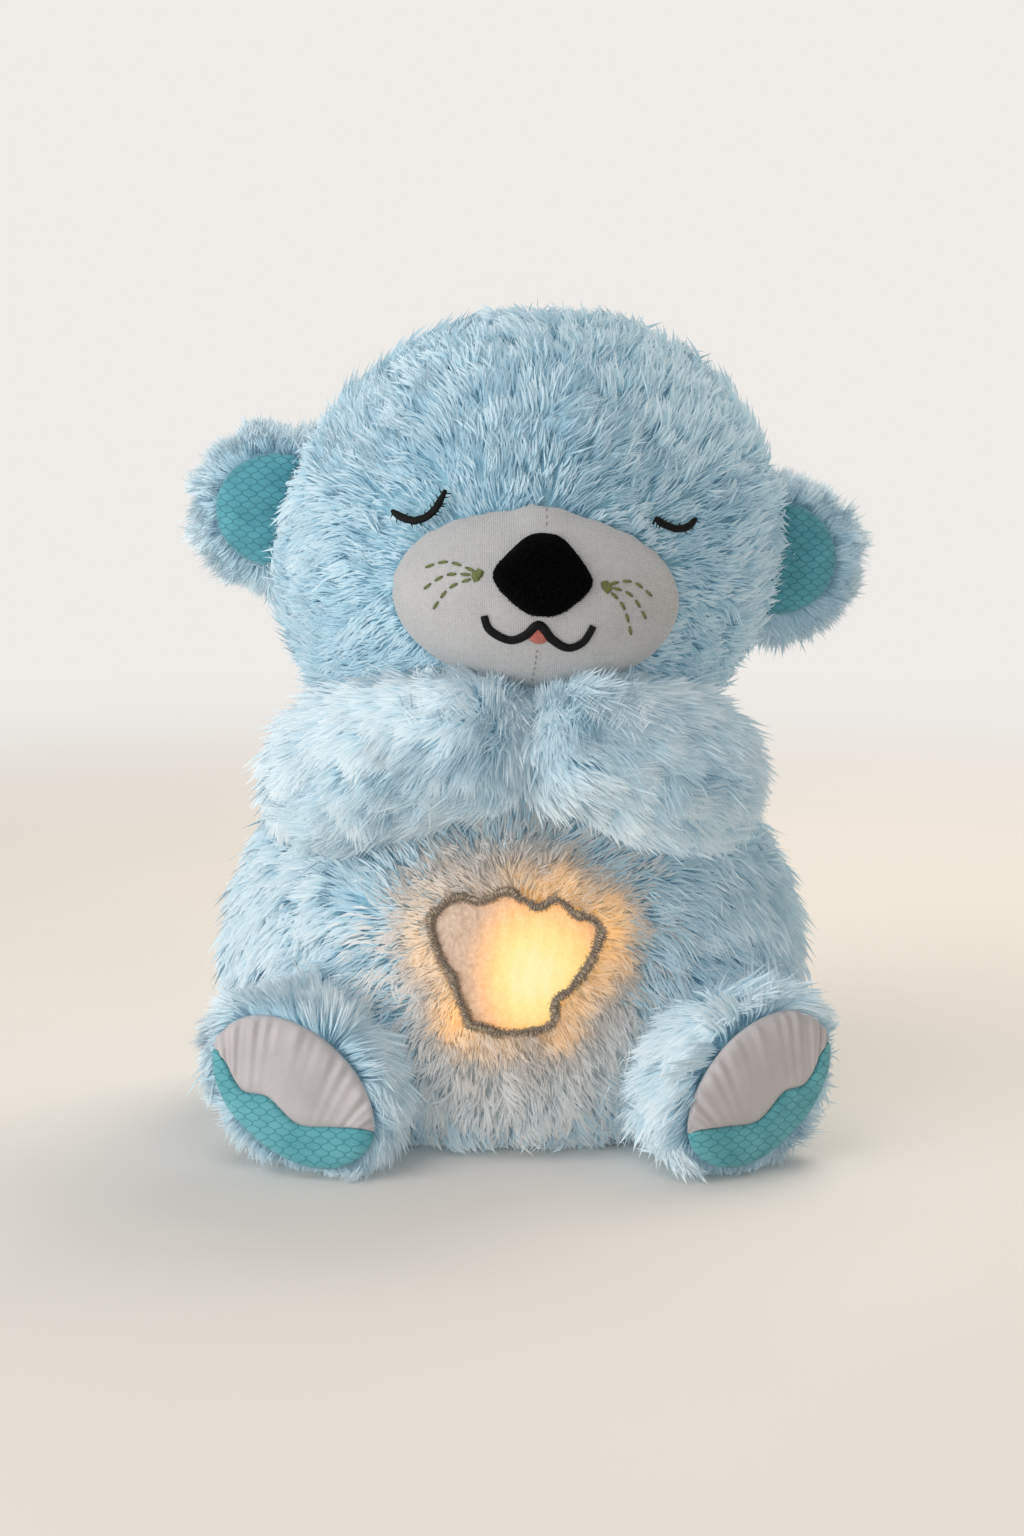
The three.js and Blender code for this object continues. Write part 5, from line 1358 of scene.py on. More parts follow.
        def keep(p: Array, n: Array) -> Array:
            """All but the underside and what the torso covers."""
            return ~(self.toy.covered(("tail",), p, n)) & ~((p[:, 2] < 5 * MM) & (n[:, 2] < -0.5))

        coat = Coat("tail_coat", self.tail_locks, length=13 * MM, rise=35, fall=12, seed=5)
        coat.dress(skin, "torso", "fur", BODY_PILE, comb, keep, None, self.tint)
        settle(skin, "torso", BLUE_BACKING, ("tail",))


@dataclass
class Window:
    """Lit window in the belly with its fuzzy cord."""

    middle: Pair = (1 * MM, 70.5 * MM)
    half: Pair = (28 * MM, 23 * MM)
    cord_radius: float = 1.05 * MM
    whips: int = 270
    cord_pitch: float = 2.3 * MM
    stand: float = -0.2 * MM
    rings: int = 22
    light_spot: Pair = (5.5 * MM, 66 * MM)
    light_half: Pair = (25 * MM, 23 * MM)
    cord_sides: int = 14
    cord_steps: int = 22
    edge_wobble: float = 0.45 * MM
    shares: Points = (
        (-0.98, 0.56), (-0.81, 0.8), (-0.61, 0.88), (-0.41, 0.82), (-0.21, 0.91), (-0.04, 0.96),
        (0.23, 0.75), (0.47, 0.84), (0.7, 0.66), (0.9, 0.54), (1, 0.38), (0.88, -0.03),
        (0.67, -0.39), (0.48, -0.6), (0.45, -0.86), (0.29, -0.98), (-0.04, -1.04), (-0.33, -0.98),
        (-0.53, -0.89), (-0.61, -0.66), (-0.74, -0.24), (-0.93, 0.19),
    )

    def outline(self, margin: float = 0.0, steps: int = 6) -> Array:
        """Places on the window's edge, in x and z."""
        half = np.array(self.half) + margin
        return curve_through(np.array(self.shares) * half + self.middle, steps, True)

    def build(self) -> None:
        """Makes the lit cloth and the cord."""
        form = stuffed("torso window_panel belly_patch", "window_former", 3 * MM, 14)
        solid = Solid.of(form)
        self.panel(solid)
        self.border(solid)
        bpy.data.objects.remove(form)

    @staticmethod
    def fold(x: Array | float, z: Array | float) -> Array | float:
        """Height of the upright folds, from -1 to 1."""
        return np.sin(x / MM * 1.15 + 0.9 * np.sin(z / MM * 0.22))

    def panel(self, solid: Solid) -> None:
        """Cloth with vertical folds and the lamp's light in it."""
        edge = self.outline()
        share = np.sin(np.linspace(0.04, 1, self.rings) * math.pi / 2)
        grid = np.empty((self.rings, len(edge), 3))
        out = np.empty_like(grid)
        middle = np.array(self.middle)
        for r, s in enumerate(share):
            for i, corner in enumerate(edge):
                x, z = middle + (corner - middle) * s
                spot, normal = solid.front(x, z)
                fold = self.fold(x, z) * math.sin(z / MM * 0.13 + 0.4)
                puff = 1.2 * MM * (1 - s**4) + 0.27 * MM * fold * (1 - s**3)
                grid[r, i] = spot + normal * (self.stand + puff)
                out[r, i] = normal
        piece = patch("window_cloth", grid, out, 1.2 * MM)
        p = places(piece.data)
        dx = (p[:, 0] - self.light_spot[0]) / self.light_half[0]
        dz = (p[:, 2] - self.light_spot[1]) / self.light_half[1]
        dx = np.where(dx < 0, dx * 1.7, dx)
        light = np.exp(-0.85 * (dx**2 + dz**2) ** 1.15)
        light = np.clip(light * (1 + 0.03 * self.fold(p[:, 0], p[:, 2])), 0, 1)
        write_map(piece.data, "Light", np.stack([light, light], axis=1))
        settle(piece, "torso", GlowFleece(), ("window_panel",))

    def border(self, solid: Solid) -> None:
        """Twisted fuzzy cord sewn round the window."""
        edge = self.outline(0.0, self.cord_steps)
        flat = np.insert(edge, 1, 0, axis=1)
        edge = edge + self.edge_wobble * swirl(flat, 6 * MM, 43)[:, :2]
        line, out = [], []
        for x, z in edge:
            spot, normal = solid.front(x, z)
            line.append(spot + normal * (self.stand + self.cord_radius * 0.7))
            out.append(normal)
        line, out = np.array(line), np.array(out)
        run = run_along(line)
        lump = 1 + 0.26 * ripple(line, 9 * MM, 41) + 0.16 * ripple(line, 3.5 * MM, 42)
        radius = self.cord_radius * lump
        cord = tube("window_cord", line, out, radius, radius, self.cord_sides, True)
        p = places(cord.data).reshape(len(line), self.cord_sides, 3)
        angle = np.arange(self.cord_sides) * TURN / self.cord_sides
        twist = np.sin(run[:, None] / self.cord_pitch * TURN + angle[None])
        p = line[:, None] + (p - line[:, None]) * (1 + 0.06 * twist)[:, :, None]
        set_places(cord.data, p.reshape(-1, 3))
        centre = np.array((self.middle[0], 0, self.middle[1]))

        def comb(q: Array, n: Array) -> Array:
            """Every way, mostly outward."""
            return np.random.default_rng(6).normal(size=q.shape) + unit(q - centre) * 0.4

        fuzz = Coat(
            "window_cord_fuzz", 3500, length=1.5 * MM, width=0.22 * MM, rise=55, fall=30,
            clump=1.2 * MM, gather=0.3, curl=0.3 * MM, wild=0.3, seed=7,
        )
        fuzz.dress(cord, "torso", "border_cord", GREY_FUZZ, comb)
        settle(cord, "torso", GREY_CORD, ("window_border",))
        settle(self.whipping(line, out, radius), "torso", WHIP_THREAD)

    def whipping(self, line: Array, out: Array, radius: Array) -> Piece:
        """Uneven threads laid over the cord, side by side all the way round, as one piece."""
        rng = np.random.default_rng(45)
        travel = unit(np.roll(line, -1, axis=0) - np.roll(line, 1, axis=0))
        side = unit(np.cross(travel, out))
        up = np.cross(side, travel)
        steps = 7
        thickness = np.array((0.4, 0.9, 1, 1, 1, 0.9, 0.4))
        angle = np.radians(np.linspace(-24, 204, steps))
        turned, raised = np.cos(angle), np.sin(angle)
        parts = []
        for start in np.sort(rng.uniform(0, len(line), self.whips)).astype(int):
            lean = rng.normal(0.9, 0.7) * MM
            grip = np.full(steps, radius[start] + 0.1 * MM)
            grip[[0, -1]] += rng.uniform(0.1, 0.9, 2) * MM
            across = side[start] * (turned * grip)[:, None] + up[start] * (raised * grip)[:, None]
            path = line[start] + across + travel[start] * (np.linspace(-0.5, 0.5, steps) * lean)[:, None]
            size = rng.uniform(0.16, 0.27) * MM * thickness
            parts.append(tube("window_whipping", path, unit(across), size, size, 5))
        return joined("window_whipping", parts)


@dataclass
class HeadLooks:
    """Head, ears and face."""

    toy: Toy
    at: HeadFrame = field(default_factory=HeadFrame)
    locks: int = 58000
    ear_locks: int = 11500
    left_eye: Points = (
        (-47.8, 13.4), (-45.1, 11.9), (-41.4, 11.2), (-37.2, 12.6), (-34.0, 16.2), (-31.5, 21.8),
    )
    right_eye: Points = ((36.0, 18.1), (38.9, 16.2), (43.8, 15.0), (47.3, 15.9), (49.6, 18.4))
    smile: Points = (
        (-17.8, -15.2), (-15.6, -19.6), (-9.2, -22.4), (-4.2, -20.4), (-0.2, -16.6), (4.4, -21.0),
        (9.8, -23.6), (14.6, -21.4), (17.4, -16.0),
    )
    nose: Points = (
        (0.5, 12.0), (6.5, 10.2), (13.6, 2.6), (16.0, -2.2), (13.4, -6.8), (6.2, -12.6),
        (0.6, -13.8), (-5.2, -12.8), (-13.0, -7.0), (-16.0, -2.0), (-13.6, 2.8), (-6.0, 10.4),
    )
    whiskers: tuple[Points, ...] = (
        ((-21.4, -1.6), (-31.0, 0.4), (-40.6, -4.1)), ((-22.6, -2.6), (-31.4, -4.0), (-39.7, -11.4)),
        ((-22.4, -3.8), (-29.8, -8.0), (-35.4, -18.0)), ((21.2, -2.4), (29.6, -1.5), (38.0, -7.2)),
        ((22.4, -3.4), (29.5, -5.9), (35.9, -14.7)), ((22.0, -4.6), (27.1, -9.8), (31.1, -20.5)),
    )
    stroke_steps: int = 9
    dash_start: float = 0.6
    dash_pitch: float = 4.4
    dash_length: float = 2.9
    least_dash: float = 2.6

    def build(self) -> None:
        """Makes the head and all that sits on it."""
        muzzle = self.muzzle_cloth()
        full = stuffed("head", "head_former", 4 * MM, 8)
        head_form = Solid.of(full)
        self.coat()
        self.eyelids(head_form)
        self.face(Solid.of(muzzle))
        for side in Side:
            self.ear(side)
        bpy.data.objects.remove(full)

    def local(self, p: Array) -> Array:
        """Places in the head's own frame."""
        matrix = np.array(self.at.matrix().inverted())
        return p @ matrix[:3, :3].T + matrix[:3, 3]

    def world(self, v: Array) -> Array:
        """Directions from the head's frame to the toy's."""
        return v @ np.array(self.at.matrix().to_3x3()).T

    def comb(self, p: Array, n: Array) -> Array:
        """Away from the muzzle in front, down behind."""
        q = self.local(p)
        away = q - mm(0.0, -75.0, -8.0)
        away[:, 1] *= 0.5
        away = unit(away)
        away[:, 2] += 0.25 * smooth(0.0, 60 * MM, q[:, 2])
        behind = smooth(-5 * MM, 50 * MM, q[:, 1])[:, None]
        down = np.array((0.0, 0.1, -1.0))
        return self.world(away * (1 - behind) + down * behind) + swirl(p, 50 * MM, 51) * 0.42

    def eye_gap(self, p: Array) -> Array:
        """Distance to the nearest eyelid, seen from the head's front."""
        q = self.local(p)
        best = np.full(len(p), 1.0)
        for lid in (self.left_eye, self.right_eye):
            for x, z in curve_through(np.array(lid) * MM, 4):
                best = np.minimum(best, np.hypot(q[:, 0] - x, q[:, 2] - z))
        return np.where(q[:, 1] < -30 * MM, best, 1.0)

    def coat(self) -> None:
        """Cloth and coat of the head."""
        skin = stuffed("head", "head_cloth", 3.0 * MM, 6, Toy.pile_depth)

        def keep(p: Array, n: Array) -> Array:
            """Share of a lock's length, none under the face and the eyelids."""
            worn = ("muzzle", "inner_ear_left", "inner_ear_right")
            return self.toy.room(("head",), worn, p, n, self.comb(p, n)) * (self.eye_gap(p) > 1.5 * MM)

        def scale(p: Array, n: Array) -> Array:
            """Shorter round the eyelids and by the muzzle."""
            q = self.local(p)
            gap = np.hypot(q[:, 0] / (50 * MM), (q[:, 2] + 8 * MM) / (33 * MM))
            muzzle = np.where(q[:, 1] < -25 * MM, smooth(0.9, 1.5, gap), 1.0)
            eyes = smooth(2 * MM, 11 * MM, self.eye_gap(p))
            return (0.6 + 0.4 * muzzle) * (0.5 + 0.5 * eyes)

        coat = Coat(
            "head_coat", self.locks, length=12.5 * MM, rise=33, fall=9, clump=3.4 * MM, gather=0.24,
            wild=0.16, seed=8,
        )
        # The head wears the darker copy of the body's pile, painted shade over the head.
        coat.dress(skin, "head", "fur", SHADED_HEAD_PILE, self.comb, keep, scale, TorsoLooks.tint)
        settle(skin, "head", BLUE_BACKING, ("head",))

    def muzzle_cloth(self) -> Piece:
        """The stuffed muzzle."""
        piece = stuffed("muzzle", "muzzle_cloth", 1.3 * MM, 24)
        p = places(piece.data)
        set_places(piece.data, p + directions(piece.data) * 0.5 * MM)
        settle(piece, "head", Knit(), ("muzzle",))
        return piece

    def stroke(
        self, name: str, form: Solid, points: Points, half: float, stand: float, thin: float
    ) -> Piece:
        """A raised embroidered stroke that thins towards its ends."""
        line = curve_through(np.array(points) * MM, self.stroke_steps)
        spots, normals = self.at.line(form, line, stand)
        t = np.linspace(0, 1, len(spots))
        width = half * (thin + (1 - thin) * np.clip(np.sin(t * math.pi) * 2.2, 0, 1))
        return tube(name, spots, normals, width, np.full(len(spots), 0.75 * MM), 10)

    def eyelids(self, form: Solid) -> None:
        """Closed eyelids with short lashes."""
        size = mm(0.32, 0.25, 0.1)
        lids = (("eyelid_left", self.left_eye, 9), ("eyelid_right", self.right_eye, 7))
        for name, points, lashes in lids:
            stroke = self.stroke(f"{name}_stitch", form, points, 1.3 * MM, 2.6 * MM, 0.5)
            line = curve_through(np.array(points) * MM, self.stroke_steps)
            parts = [stroke]
            inner = len(line) - 2 if name == "eyelid_left" else 1
            spread = np.linspace(2, len(line) - 3, lashes)
            for i in np.concatenate([spread, inner + (spread - inner) * 0.25]).astype(int):
                ahead = line[i + 1] - line[i - 1]
                down = np.array((ahead[1], -ahead[0])) / np.hypot(*ahead) * (-1 if i % 3 == 0 else 1)
                bend = line[i] + down * 1.3 * MM + ahead * 0.3
                tip = line[i] + down * 2.2 * MM + ahead * 0.8
                spots, normals = self.at.line(form, np.array([line[i], bend, tip]), 2.3 * MM)
                parts.append(tube(f"{name}_lash", spots, normals, size, size, 6))
            settle(joined(f"{name}_stitches", parts), "head", BLACK_THREAD, (name,))

    def face(self, form: Solid) -> None:
        """Nose, smile, tongue, centre seam and whiskers."""
        self.nose_pad(form)
        smile = self.stroke("smile_stitches", form, self.smile, 1.5 * MM, 0.35 * MM, 0.8)
        settle(smile, "head", BLACK_THREAD, ("smile",))
        self.tongue_pad(form)
        seam = [((0.0, z), (0.05, z - 1.1)) for z in np.arange(-25.0, -37.0, -2.1)]
        top = [((0.4, z), (0.4, z + 1.1)) for z in np.arange(14.5, 20.0, 2.1)]
        centre = self.stitches("muzzle_seam", form, seam + top, 0.3 * MM, 0.1 * MM)
        settle(centre, "head", SEAM_THREAD)
        dashes = []
        for line in self.whiskers:
            dashes += self.dashes(line)
        whiskers = self.stitches("whisker_stitches", form, dashes, 0.58 * MM, 0.15 * MM)
        settle(whiskers, "head", OLIVE_THREAD)

    def dashes(self, line: Points) -> list[Array]:
        """Splits a whisker into the dashes of a running stitch, with a knot at its start."""
        spots = curve_through(line, 24)
        run = run_along(spots)
        result = []
        start = self.dash_start
        while start + self.least_dash < run[-1]:
            steps = np.linspace(start, start + self.dash_length, 5)
            result.append(along_line(steps, run, spots))
            start += self.dash_pitch
        back = unit(spots[:1] - spots[10:11])[0]
        side = np.array((-back[1], back[0]))
        for k in (-1.5, -0.5, 0.5, 1.5):
            result.append(np.array([spots[0] + side * 0.6 * k, spots[0] + back * 2.3 + side * 0.45 * k]))
        return result

    def stitches(self, name: str, form: Solid, dashes: Sequence, radius: float, stand: float) -> Piece:
        """Short threads laid on a form."""
        parts = []
        for dash in dashes:
            line = curve_through(np.array(dash) * MM, 3)
            spots, normals = self.at.line(form, line, stand)
            t = np.linspace(0, 1, len(spots))
            size = radius * (0.55 + 0.45 * np.sin(t * math.pi))
            parts.append(tube(name, spots, normals, size, size * 0.8, 8))
        return joined(name, parts)

    def sheet(
        self, name: str, form: Solid, middle: Array, edge: Array, share: Array,
        crown: Callable[[float], float], thickness: float, is_cloth: bool = False,
    ) -> Piece:
        """A closed sheet of rings on a form; crown gives the height at each ring's share."""
        flat = middle + (edge - middle) * share[:, None, None]
        grid, out = np.empty((2, len(share), len(edge), 3))
        for r, s in enumerate(share):
            spots, out[r] = self.at.line(form, flat[r], 0.0)
            grid[r] = spots + out[r] * crown(s)
        return patch(name, grid, out, thickness, flat if is_cloth else None)

    def nose_pad(self, form: Solid) -> None:
        """A crowned pad of short black pile."""
        edge = curve_through(np.array(self.nose) * MM, 5, True)
        middle = mm(0.4, -1.0)
        share = np.sin(np.linspace(0.05, 1, 12) * math.pi / 2)

        def crown(s: float) -> float:
            """Height of the pad from its middle to its edge."""
            return 3.6 * MM * (1 - s**3.2) ** 0.6 + 0.2 * MM

        pad = self.sheet("nose_pad", form, middle, edge, share, crown, 1.5 * MM)
        fuzz = Coat(
            "nose_pile", 5000, length=0.6 * MM, width=0.2 * MM, rise=62, fall=40, clump=1.4 * MM,
            gather=0.3, curl=0.1 * MM, wild=0.05, seed=9,
        )
        front = self.world(np.array([[0.0, -1.0, 0.0]]))[0]

        def comb(p: Array, n: Array) -> Array:
            """Outward and down."""
            return p - p.mean(axis=0) + np.array((0, 0, -20 * MM))

        fuzz.dress(pad, "head", "black_pile", BLACK_PILE, comb, lambda p, n: n @ front > 0.3)
        settle(pad, "head", Backing("black_backing", "050506", "020203", 0.02), ("nose",))

    def tongue_pad(self, form: Solid) -> None:
        """A small felt tongue under the peak of the smile."""
        angle = np.linspace(0, TURN, 28, endpoint=False)
        middle, half = mm(0.1, -20.4), mm(3.3, 2.7)
        edge = np.stack([np.sin(angle), np.cos(angle)], axis=1) * half + middle
        share = np.linspace(0.1, 1, 6)

        def crown(s: float) -> float:
            """Height of the tongue from its middle to its edge."""
            return 0.55 * MM * (1 - s**3) + 0.15 * MM

        tongue = self.sheet("tongue_felt", form, middle, edge, share, crown, 0.8 * MM)
        settle(tongue, "head", RED_FELT, ("tongue",))

    def ear(self, side: Side) -> None:
        """An ear with its coat and its printed lining."""
        node = f"ear_{side.word}"
        skin = stuffed(node, f"{node}_cloth", 2.2 * MM, 5, 4.2 * MM)
        centre = np.array((side.value * 87.9, 7.0, 6.6 if side is Side.LEFT else 2.9)) * MM
        thicker, longer = 3.4 * MM, 8 * MM
        p = places(skin.data)
        q = self.local(p)
        facing = (self.local(p + directions(skin.data)) - q)[:, 1]
        inward = (centre[0] - q[:, 0]) * side.value
        q[:, 1] += thicker * np.maximum(facing, 0) * smooth(-8 * MM, 10 * MM, inward)
        q[:, 0] -= side.value * longer * smooth(2 * MM, 16 * MM, inward)
        set_places(skin.data, self.world(q) + np.array(self.at.centre))

        def keep(p: Array, n: Array) -> Array:
            """All but the lining and what the head covers."""
            q = (self.local(p) - centre) / mm(20.0, 10, 18.6)
            ahead = self.local(p + n)[:, 1] - self.local(p)[:, 1] < 0
            front = (np.hypot(q[:, 0], q[:, 2]) < 1.0) & ahead
            return ~front & ~self.toy.covered((node, f"inner_ear_{side.word}"), p, n, 1 * MM)

        def comb(p: Array, n: Array) -> Array:
            """Outward from the middle of the ear."""
            q = self.local(p) - centre
            q[:, 1] *= 0.3
            return self.world(unit(q)) + swirl(p, 30 * MM, 61) * 0.2

        coat = Coat(
            f"{node}_coat", self.ear_locks, length=11 * MM, rise=34, fall=12, clump=3.4 * MM,
            gather=0.24, seed=10 + side.value,
        )
        coat.dress(skin, "head", "fur", BODY_PILE, comb, keep, None, TorsoLooks.tint)
        form = stuffed(node, "ear_former", 2.4 * MM, 5)
        self.lining(side, Solid.of(form), centre)
        bpy.data.objects.remove(form)
        settle(skin, "head", BLUE_BACKING, (node,))

    def lining(self, side: Side, form: Solid, centre: Array) -> None:
        """The teal lining of an ear."""
        middle, half = centre[[0, 2]], mm(21.4, 20.0)
        angle = np.linspace(0, TURN, 72, endpoint=False)
        edge = middle + np.stack([np.cos(angle), np.sin(angle)], axis=1) * half
        share = np.linspace(0.06, 1, 16)

        def crown(s: float) -> float:
            """Height of the lining, tucked in at its edge."""
            return 0.9 * MM * (1 - s**6) - 0.9 * MM * s**8 + 0.3 * MM

        name = f"inner_ear_{side.word}"
        piece = self.sheet(f"{name}_cloth", form, middle, edge, share, crown, 0.8 * MM, True)
        settle(piece, "head", TEAL_EAR, (name,))


@dataclass
class ArmLooks:
    """One arm from its shoulder to its paw."""

    toy: Toy
    side: Side
    locks: int = 29000
    tuft_locks: int = 2600

    def build(self) -> None:
        """Makes the arm's cloth and coat."""
        node = f"arm_{self.side.word}"
        skin = stuffed(node, f"{node}_cloth", 2.8 * MM, 6, Toy.pile_depth)
        s = self.side.value
        chin = mm(5, -74, 172)

        def comb(p: Array, n: Array) -> Array:
            """Out and down from under the chin."""
            return unit(p - chin) + np.array((0.1 * s, 0, -0.15)) + swirl(p, 32 * MM, 71) * 0.4

        def keep(p: Array, n: Array) -> Array:
            """Share of a lock's length, short where the arm rests."""
            return self.toy.room((node,), (), p, n, comb(p, n))

        def on_top(p: Array, n: Array) -> Array:
            """Share of length on the paw's top, in front of the chin."""
            free = (n[:, 2] > 0.2) & (n[:, 1] < 0.3) & (p[:, 1] < -62 * MM)
            open_side = smooth(52 * MM, 30 * MM, np.abs(p[:, 0] - chin[0]))
            return free * ~self.toy.covered((node,), p, n, 5 * MM) * open_side

        def up(p: Array, n: Array) -> Array:
            """Up, forward and a little out."""
            return np.tile((0.35 * s, -0.5, 0.6), (len(p), 1))

        coat = Coat(f"{node}_coat", self.locks, length=14.5 * MM, rise=40, fall=14, seed=20 + s)
        tuft = Coat(
            f"{node}_tuft", self.tuft_locks, length=11 * MM, width=0.5 * MM, rise=64, fall=52, seed=40 + s
        )
        pieces = coat.grow(skin, comb, keep, None, TorsoLooks.tint)
        pieces += tuft.grow(skin, up, on_top, None, TorsoLooks.tint, lambda p: p[:, 2] > 140 * MM)
        for piece in pieces:
            settle(piece, node, BODY_PILE)
        settle(skin, node, BLUE_BACKING, (node,))


@dataclass
class LegLooks:
    """One leg with its two-part sole."""

    toy: Toy
    side: Side
    locks: int = 20000
    lean: float = 38.0
    long_radius: float = 30.5 * MM
    short_radius: float = 21 * MM
    hem: float = 2.6 * MM
    seam: Points = (
        (-1.05, -0.27), (-0.8, -0.3), (-0.45, -0.5), (-0.17, -0.29), (0.25, -0.31), (0.57, 0.03),
        (0.84, 0.33), (1.1, 0.38),
    )

    @property
    def toe_out(self) -> float:
        """How far the foot turns out, in degrees."""
        return 15.0 if self.side is Side.LEFT else 30.0

    def matrix(self) -> Matrix:
        """From the leg's own frame to the toy's."""
        place = Vector((self.side.value * 61.2, -57.964, 28.79)) * MM
        turn = Matrix.Rotation(math.radians(self.side.value * self.toe_out), 4, "Z")
        return Matrix.Translation(place) @ turn

    def across(self, s: float, t: float) -> Pair:
        """A place on the sole from shares of its radii to x and z in the leg's frame."""
        lean = math.radians(self.lean)
        long, short = s * self.long_radius, t * self.short_radius
        x = -self.side.value * (long * math.cos(lean) + short * math.sin(lean))
        return x, short * math.cos(lean) - long * math.sin(lean)

    def build(self) -> None:
        """Makes the leg's cloth, coat and sole."""
        node = f"leg_{self.side.word}"
        skin = stuffed(node, f"{node}_cloth", 2.8 * MM, 6, Toy.pile_depth)
        matrix = self.matrix()
        inverse = np.array(matrix.inverted())
        turn = np.array(matrix.to_3x3())
        own = (node, f"sole_cream_{self.side.word}", f"sole_teal_{self.side.word}")

        def local(p: Array) -> Array:
            """Places in the leg's own frame."""
            return p @ inverse[:3, :3].T + inverse[:3, 3]

        def on_sole(p: Array, n: Array) -> Array:
            """Places under the sole."""
            q = local(p)
            lean = math.radians(self.lean)
            x, z = -self.side.value * q[:, 0], q[:, 2]
            long = (x * math.cos(lean) - z * math.sin(lean)) / (self.long_radius - self.hem)
            short = (x * math.sin(lean) + z * math.cos(lean)) / (self.short_radius - self.hem)
            return (np.hypot(long, short) < 1.0) & (q[:, 1] < -25 * MM)

        def comb(p: Array, n: Array) -> Array:
            """Out from the sole and back along the leg."""
            q = local(p)
            flow = np.zeros_like(q)
            flow[:, 1] = 0.7 * smooth(-36 * MM, -10 * MM, q[:, 1]) - 0.12
            flow[:, 2] = -0.25
            radial = q.copy()
            radial[:, 1] = 0
            flow += unit(radial) * 0.9
            return flow @ turn.T + swirl(p, 40 * MM, 81) * 0.35

        def keep(p: Array, n: Array) -> Array:
            """Share of a lock's length, none on the sole and the floor side."""
            floor = (p[:, 2] < 5 * MM) & (n[:, 2] < -0.6)
            return np.where(on_sole(p, n) | floor, 0, self.toy.room(own, (), p, n, comb(p, n)))

        def scale(p: Array, n: Array) -> Array:
            """Shorter on the rim of the sole and near the floor."""
            q = local(p)
            rim = smooth(-44 * MM, -26 * MM, q[:, 1])
            return (0.9 + 0.1 * rim) * (0.6 + 0.4 * smooth(0, 12 * MM, p[:, 2]))

        coat = Coat(f"{node}_coat", self.locks, length=14 * MM, rise=42, fall=16, seed=30 + self.side.value)
        coat.dress(skin, node, "fur", BODY_PILE, comb, keep, scale, TorsoLooks.tint)
        form = stuffed(node, "leg_former", 2.8 * MM, 6)
        self.sole(Solid.of(form), matrix)
        bpy.data.objects.remove(form)
        settle(skin, node, BLUE_BACKING, (node,))

    def sole(self, form: Solid, matrix: Matrix) -> None:
        """The cream and teal halves of the sole, joined on a wavy seam."""
        seam = curve_through(self.seam, 16)
        inside = seam[np.hypot(seam[:, 0], seam[:, 1]) < 0.999]
        first, last = inside[0] / np.hypot(*inside[0]), inside[-1] / np.hypot(*inside[-1])
        seam = np.concatenate([[first], inside, [last]])
        run = run_along(seam)
        columns = 97
        seam = along_line(np.linspace(0, run[-1], columns), run, seam)
        start, end = math.atan2(first[1], first[0]), math.atan2(last[1], last[0])
        start = start - TURN if start > 0 else start
        for half, begin in (("cream", start + TURN), ("teal", start)):
            angles = np.linspace(begin, end, columns)
            rim = np.stack([np.cos(angles), np.sin(angles)], axis=1)
            self.half_sole(half, form, matrix, seam, rim)

    def half_sole(self, half: str, form: Solid, matrix: Matrix, seam: Array, rim: Array) -> None:
        """One half of the sole as a padded sheet between the seam and the rim.

        Args:
            half: Which half, cream or teal.
            form: The leg's form that it lies on.
            matrix: From the leg's frame to the toy's.
            seam: Shares along the seam.
            rim: Shares along the edge of the sole.
        """
        rows, edge_steps, ahead = 26, 24, 200 * MM
        columns = len(seam)
        along = (matrix.to_3x3() @ Vector((0, 1, 0))).normalized()
        grid, out, cloth = [], [], []
        for r in range(rows):
            b = r / (rows - 1)
            for i in range(columns):
                s, t = seam[i] * (1 - b) + rim[i] * b
                x, z = self.across(s, t)
                spot, normal = form.front(0, 0, along, matrix @ Vector((x, -ahead, z)))
                edge = min(b, 1 - b, i / edge_steps, (columns - 1 - i) / edge_steps)
                puff = 1.5 * MM * min(edge * 7, 1.0) ** 0.5
                rim_gap = 1 - math.hypot(s, t)
                if half == "cream":
                    a = i / (columns - 1)
                    pleat = math.sin(a * 78 + 2.2 * math.sin(a * 17)) + 0.5 * math.sin(a * 131 + 1)
                    near_rim = math.exp(-max(rim_gap, 0) / 0.25)
                    puff += 0.85 * MM * pleat * near_rim * min(edge * 10, 1)
                    puff += 0.5 * MM * math.sin(s * 4.1 + t * 2.3) * (1 - b) * b
                grid.append(spot + normal * (puff + 0.4 * MM))
                out.append(normal)
                cloth.append((x, z))
        spots, normals = np.array(grid), np.array(out)
        back = spots - normals * 2.2 * MM
        base = rows * columns
        faces = []
        for r in range(rows - 1):
            for i in range(columns - 1):
                a, b = r * columns + i, r * columns + i + 1
                c, d = b + columns, a + columns
                faces.append((a, b, c, d))
                faces.append((base + d, base + c, base + b, base + a))
        border = [*range(columns)]
        border += [(r + 1) * columns - 1 for r in range(1, rows)]
        border += [*range(base - 2, base - columns - 1, -1)]
        border += [r * columns for r in range(rows - 2, 0, -1)]
        for a, b in zip(border, border[1:] + border[:1]):
            faces.append((b, a, base + a, base + b))
        name = f"sole_{half}_{self.side.word}"
        piece = mesh_piece(f"{name}_cloth", np.concatenate([spots, back]), faces)
        write_map(piece.data, "Cloth", np.array(cloth * 2))
        mend(piece, merge=True, turn_out=True)
        finish = CREAM_SATIN if half == "cream" else TEAL_SOLE
        settle(piece, f"leg_{self.side.word}", finish, (name,))


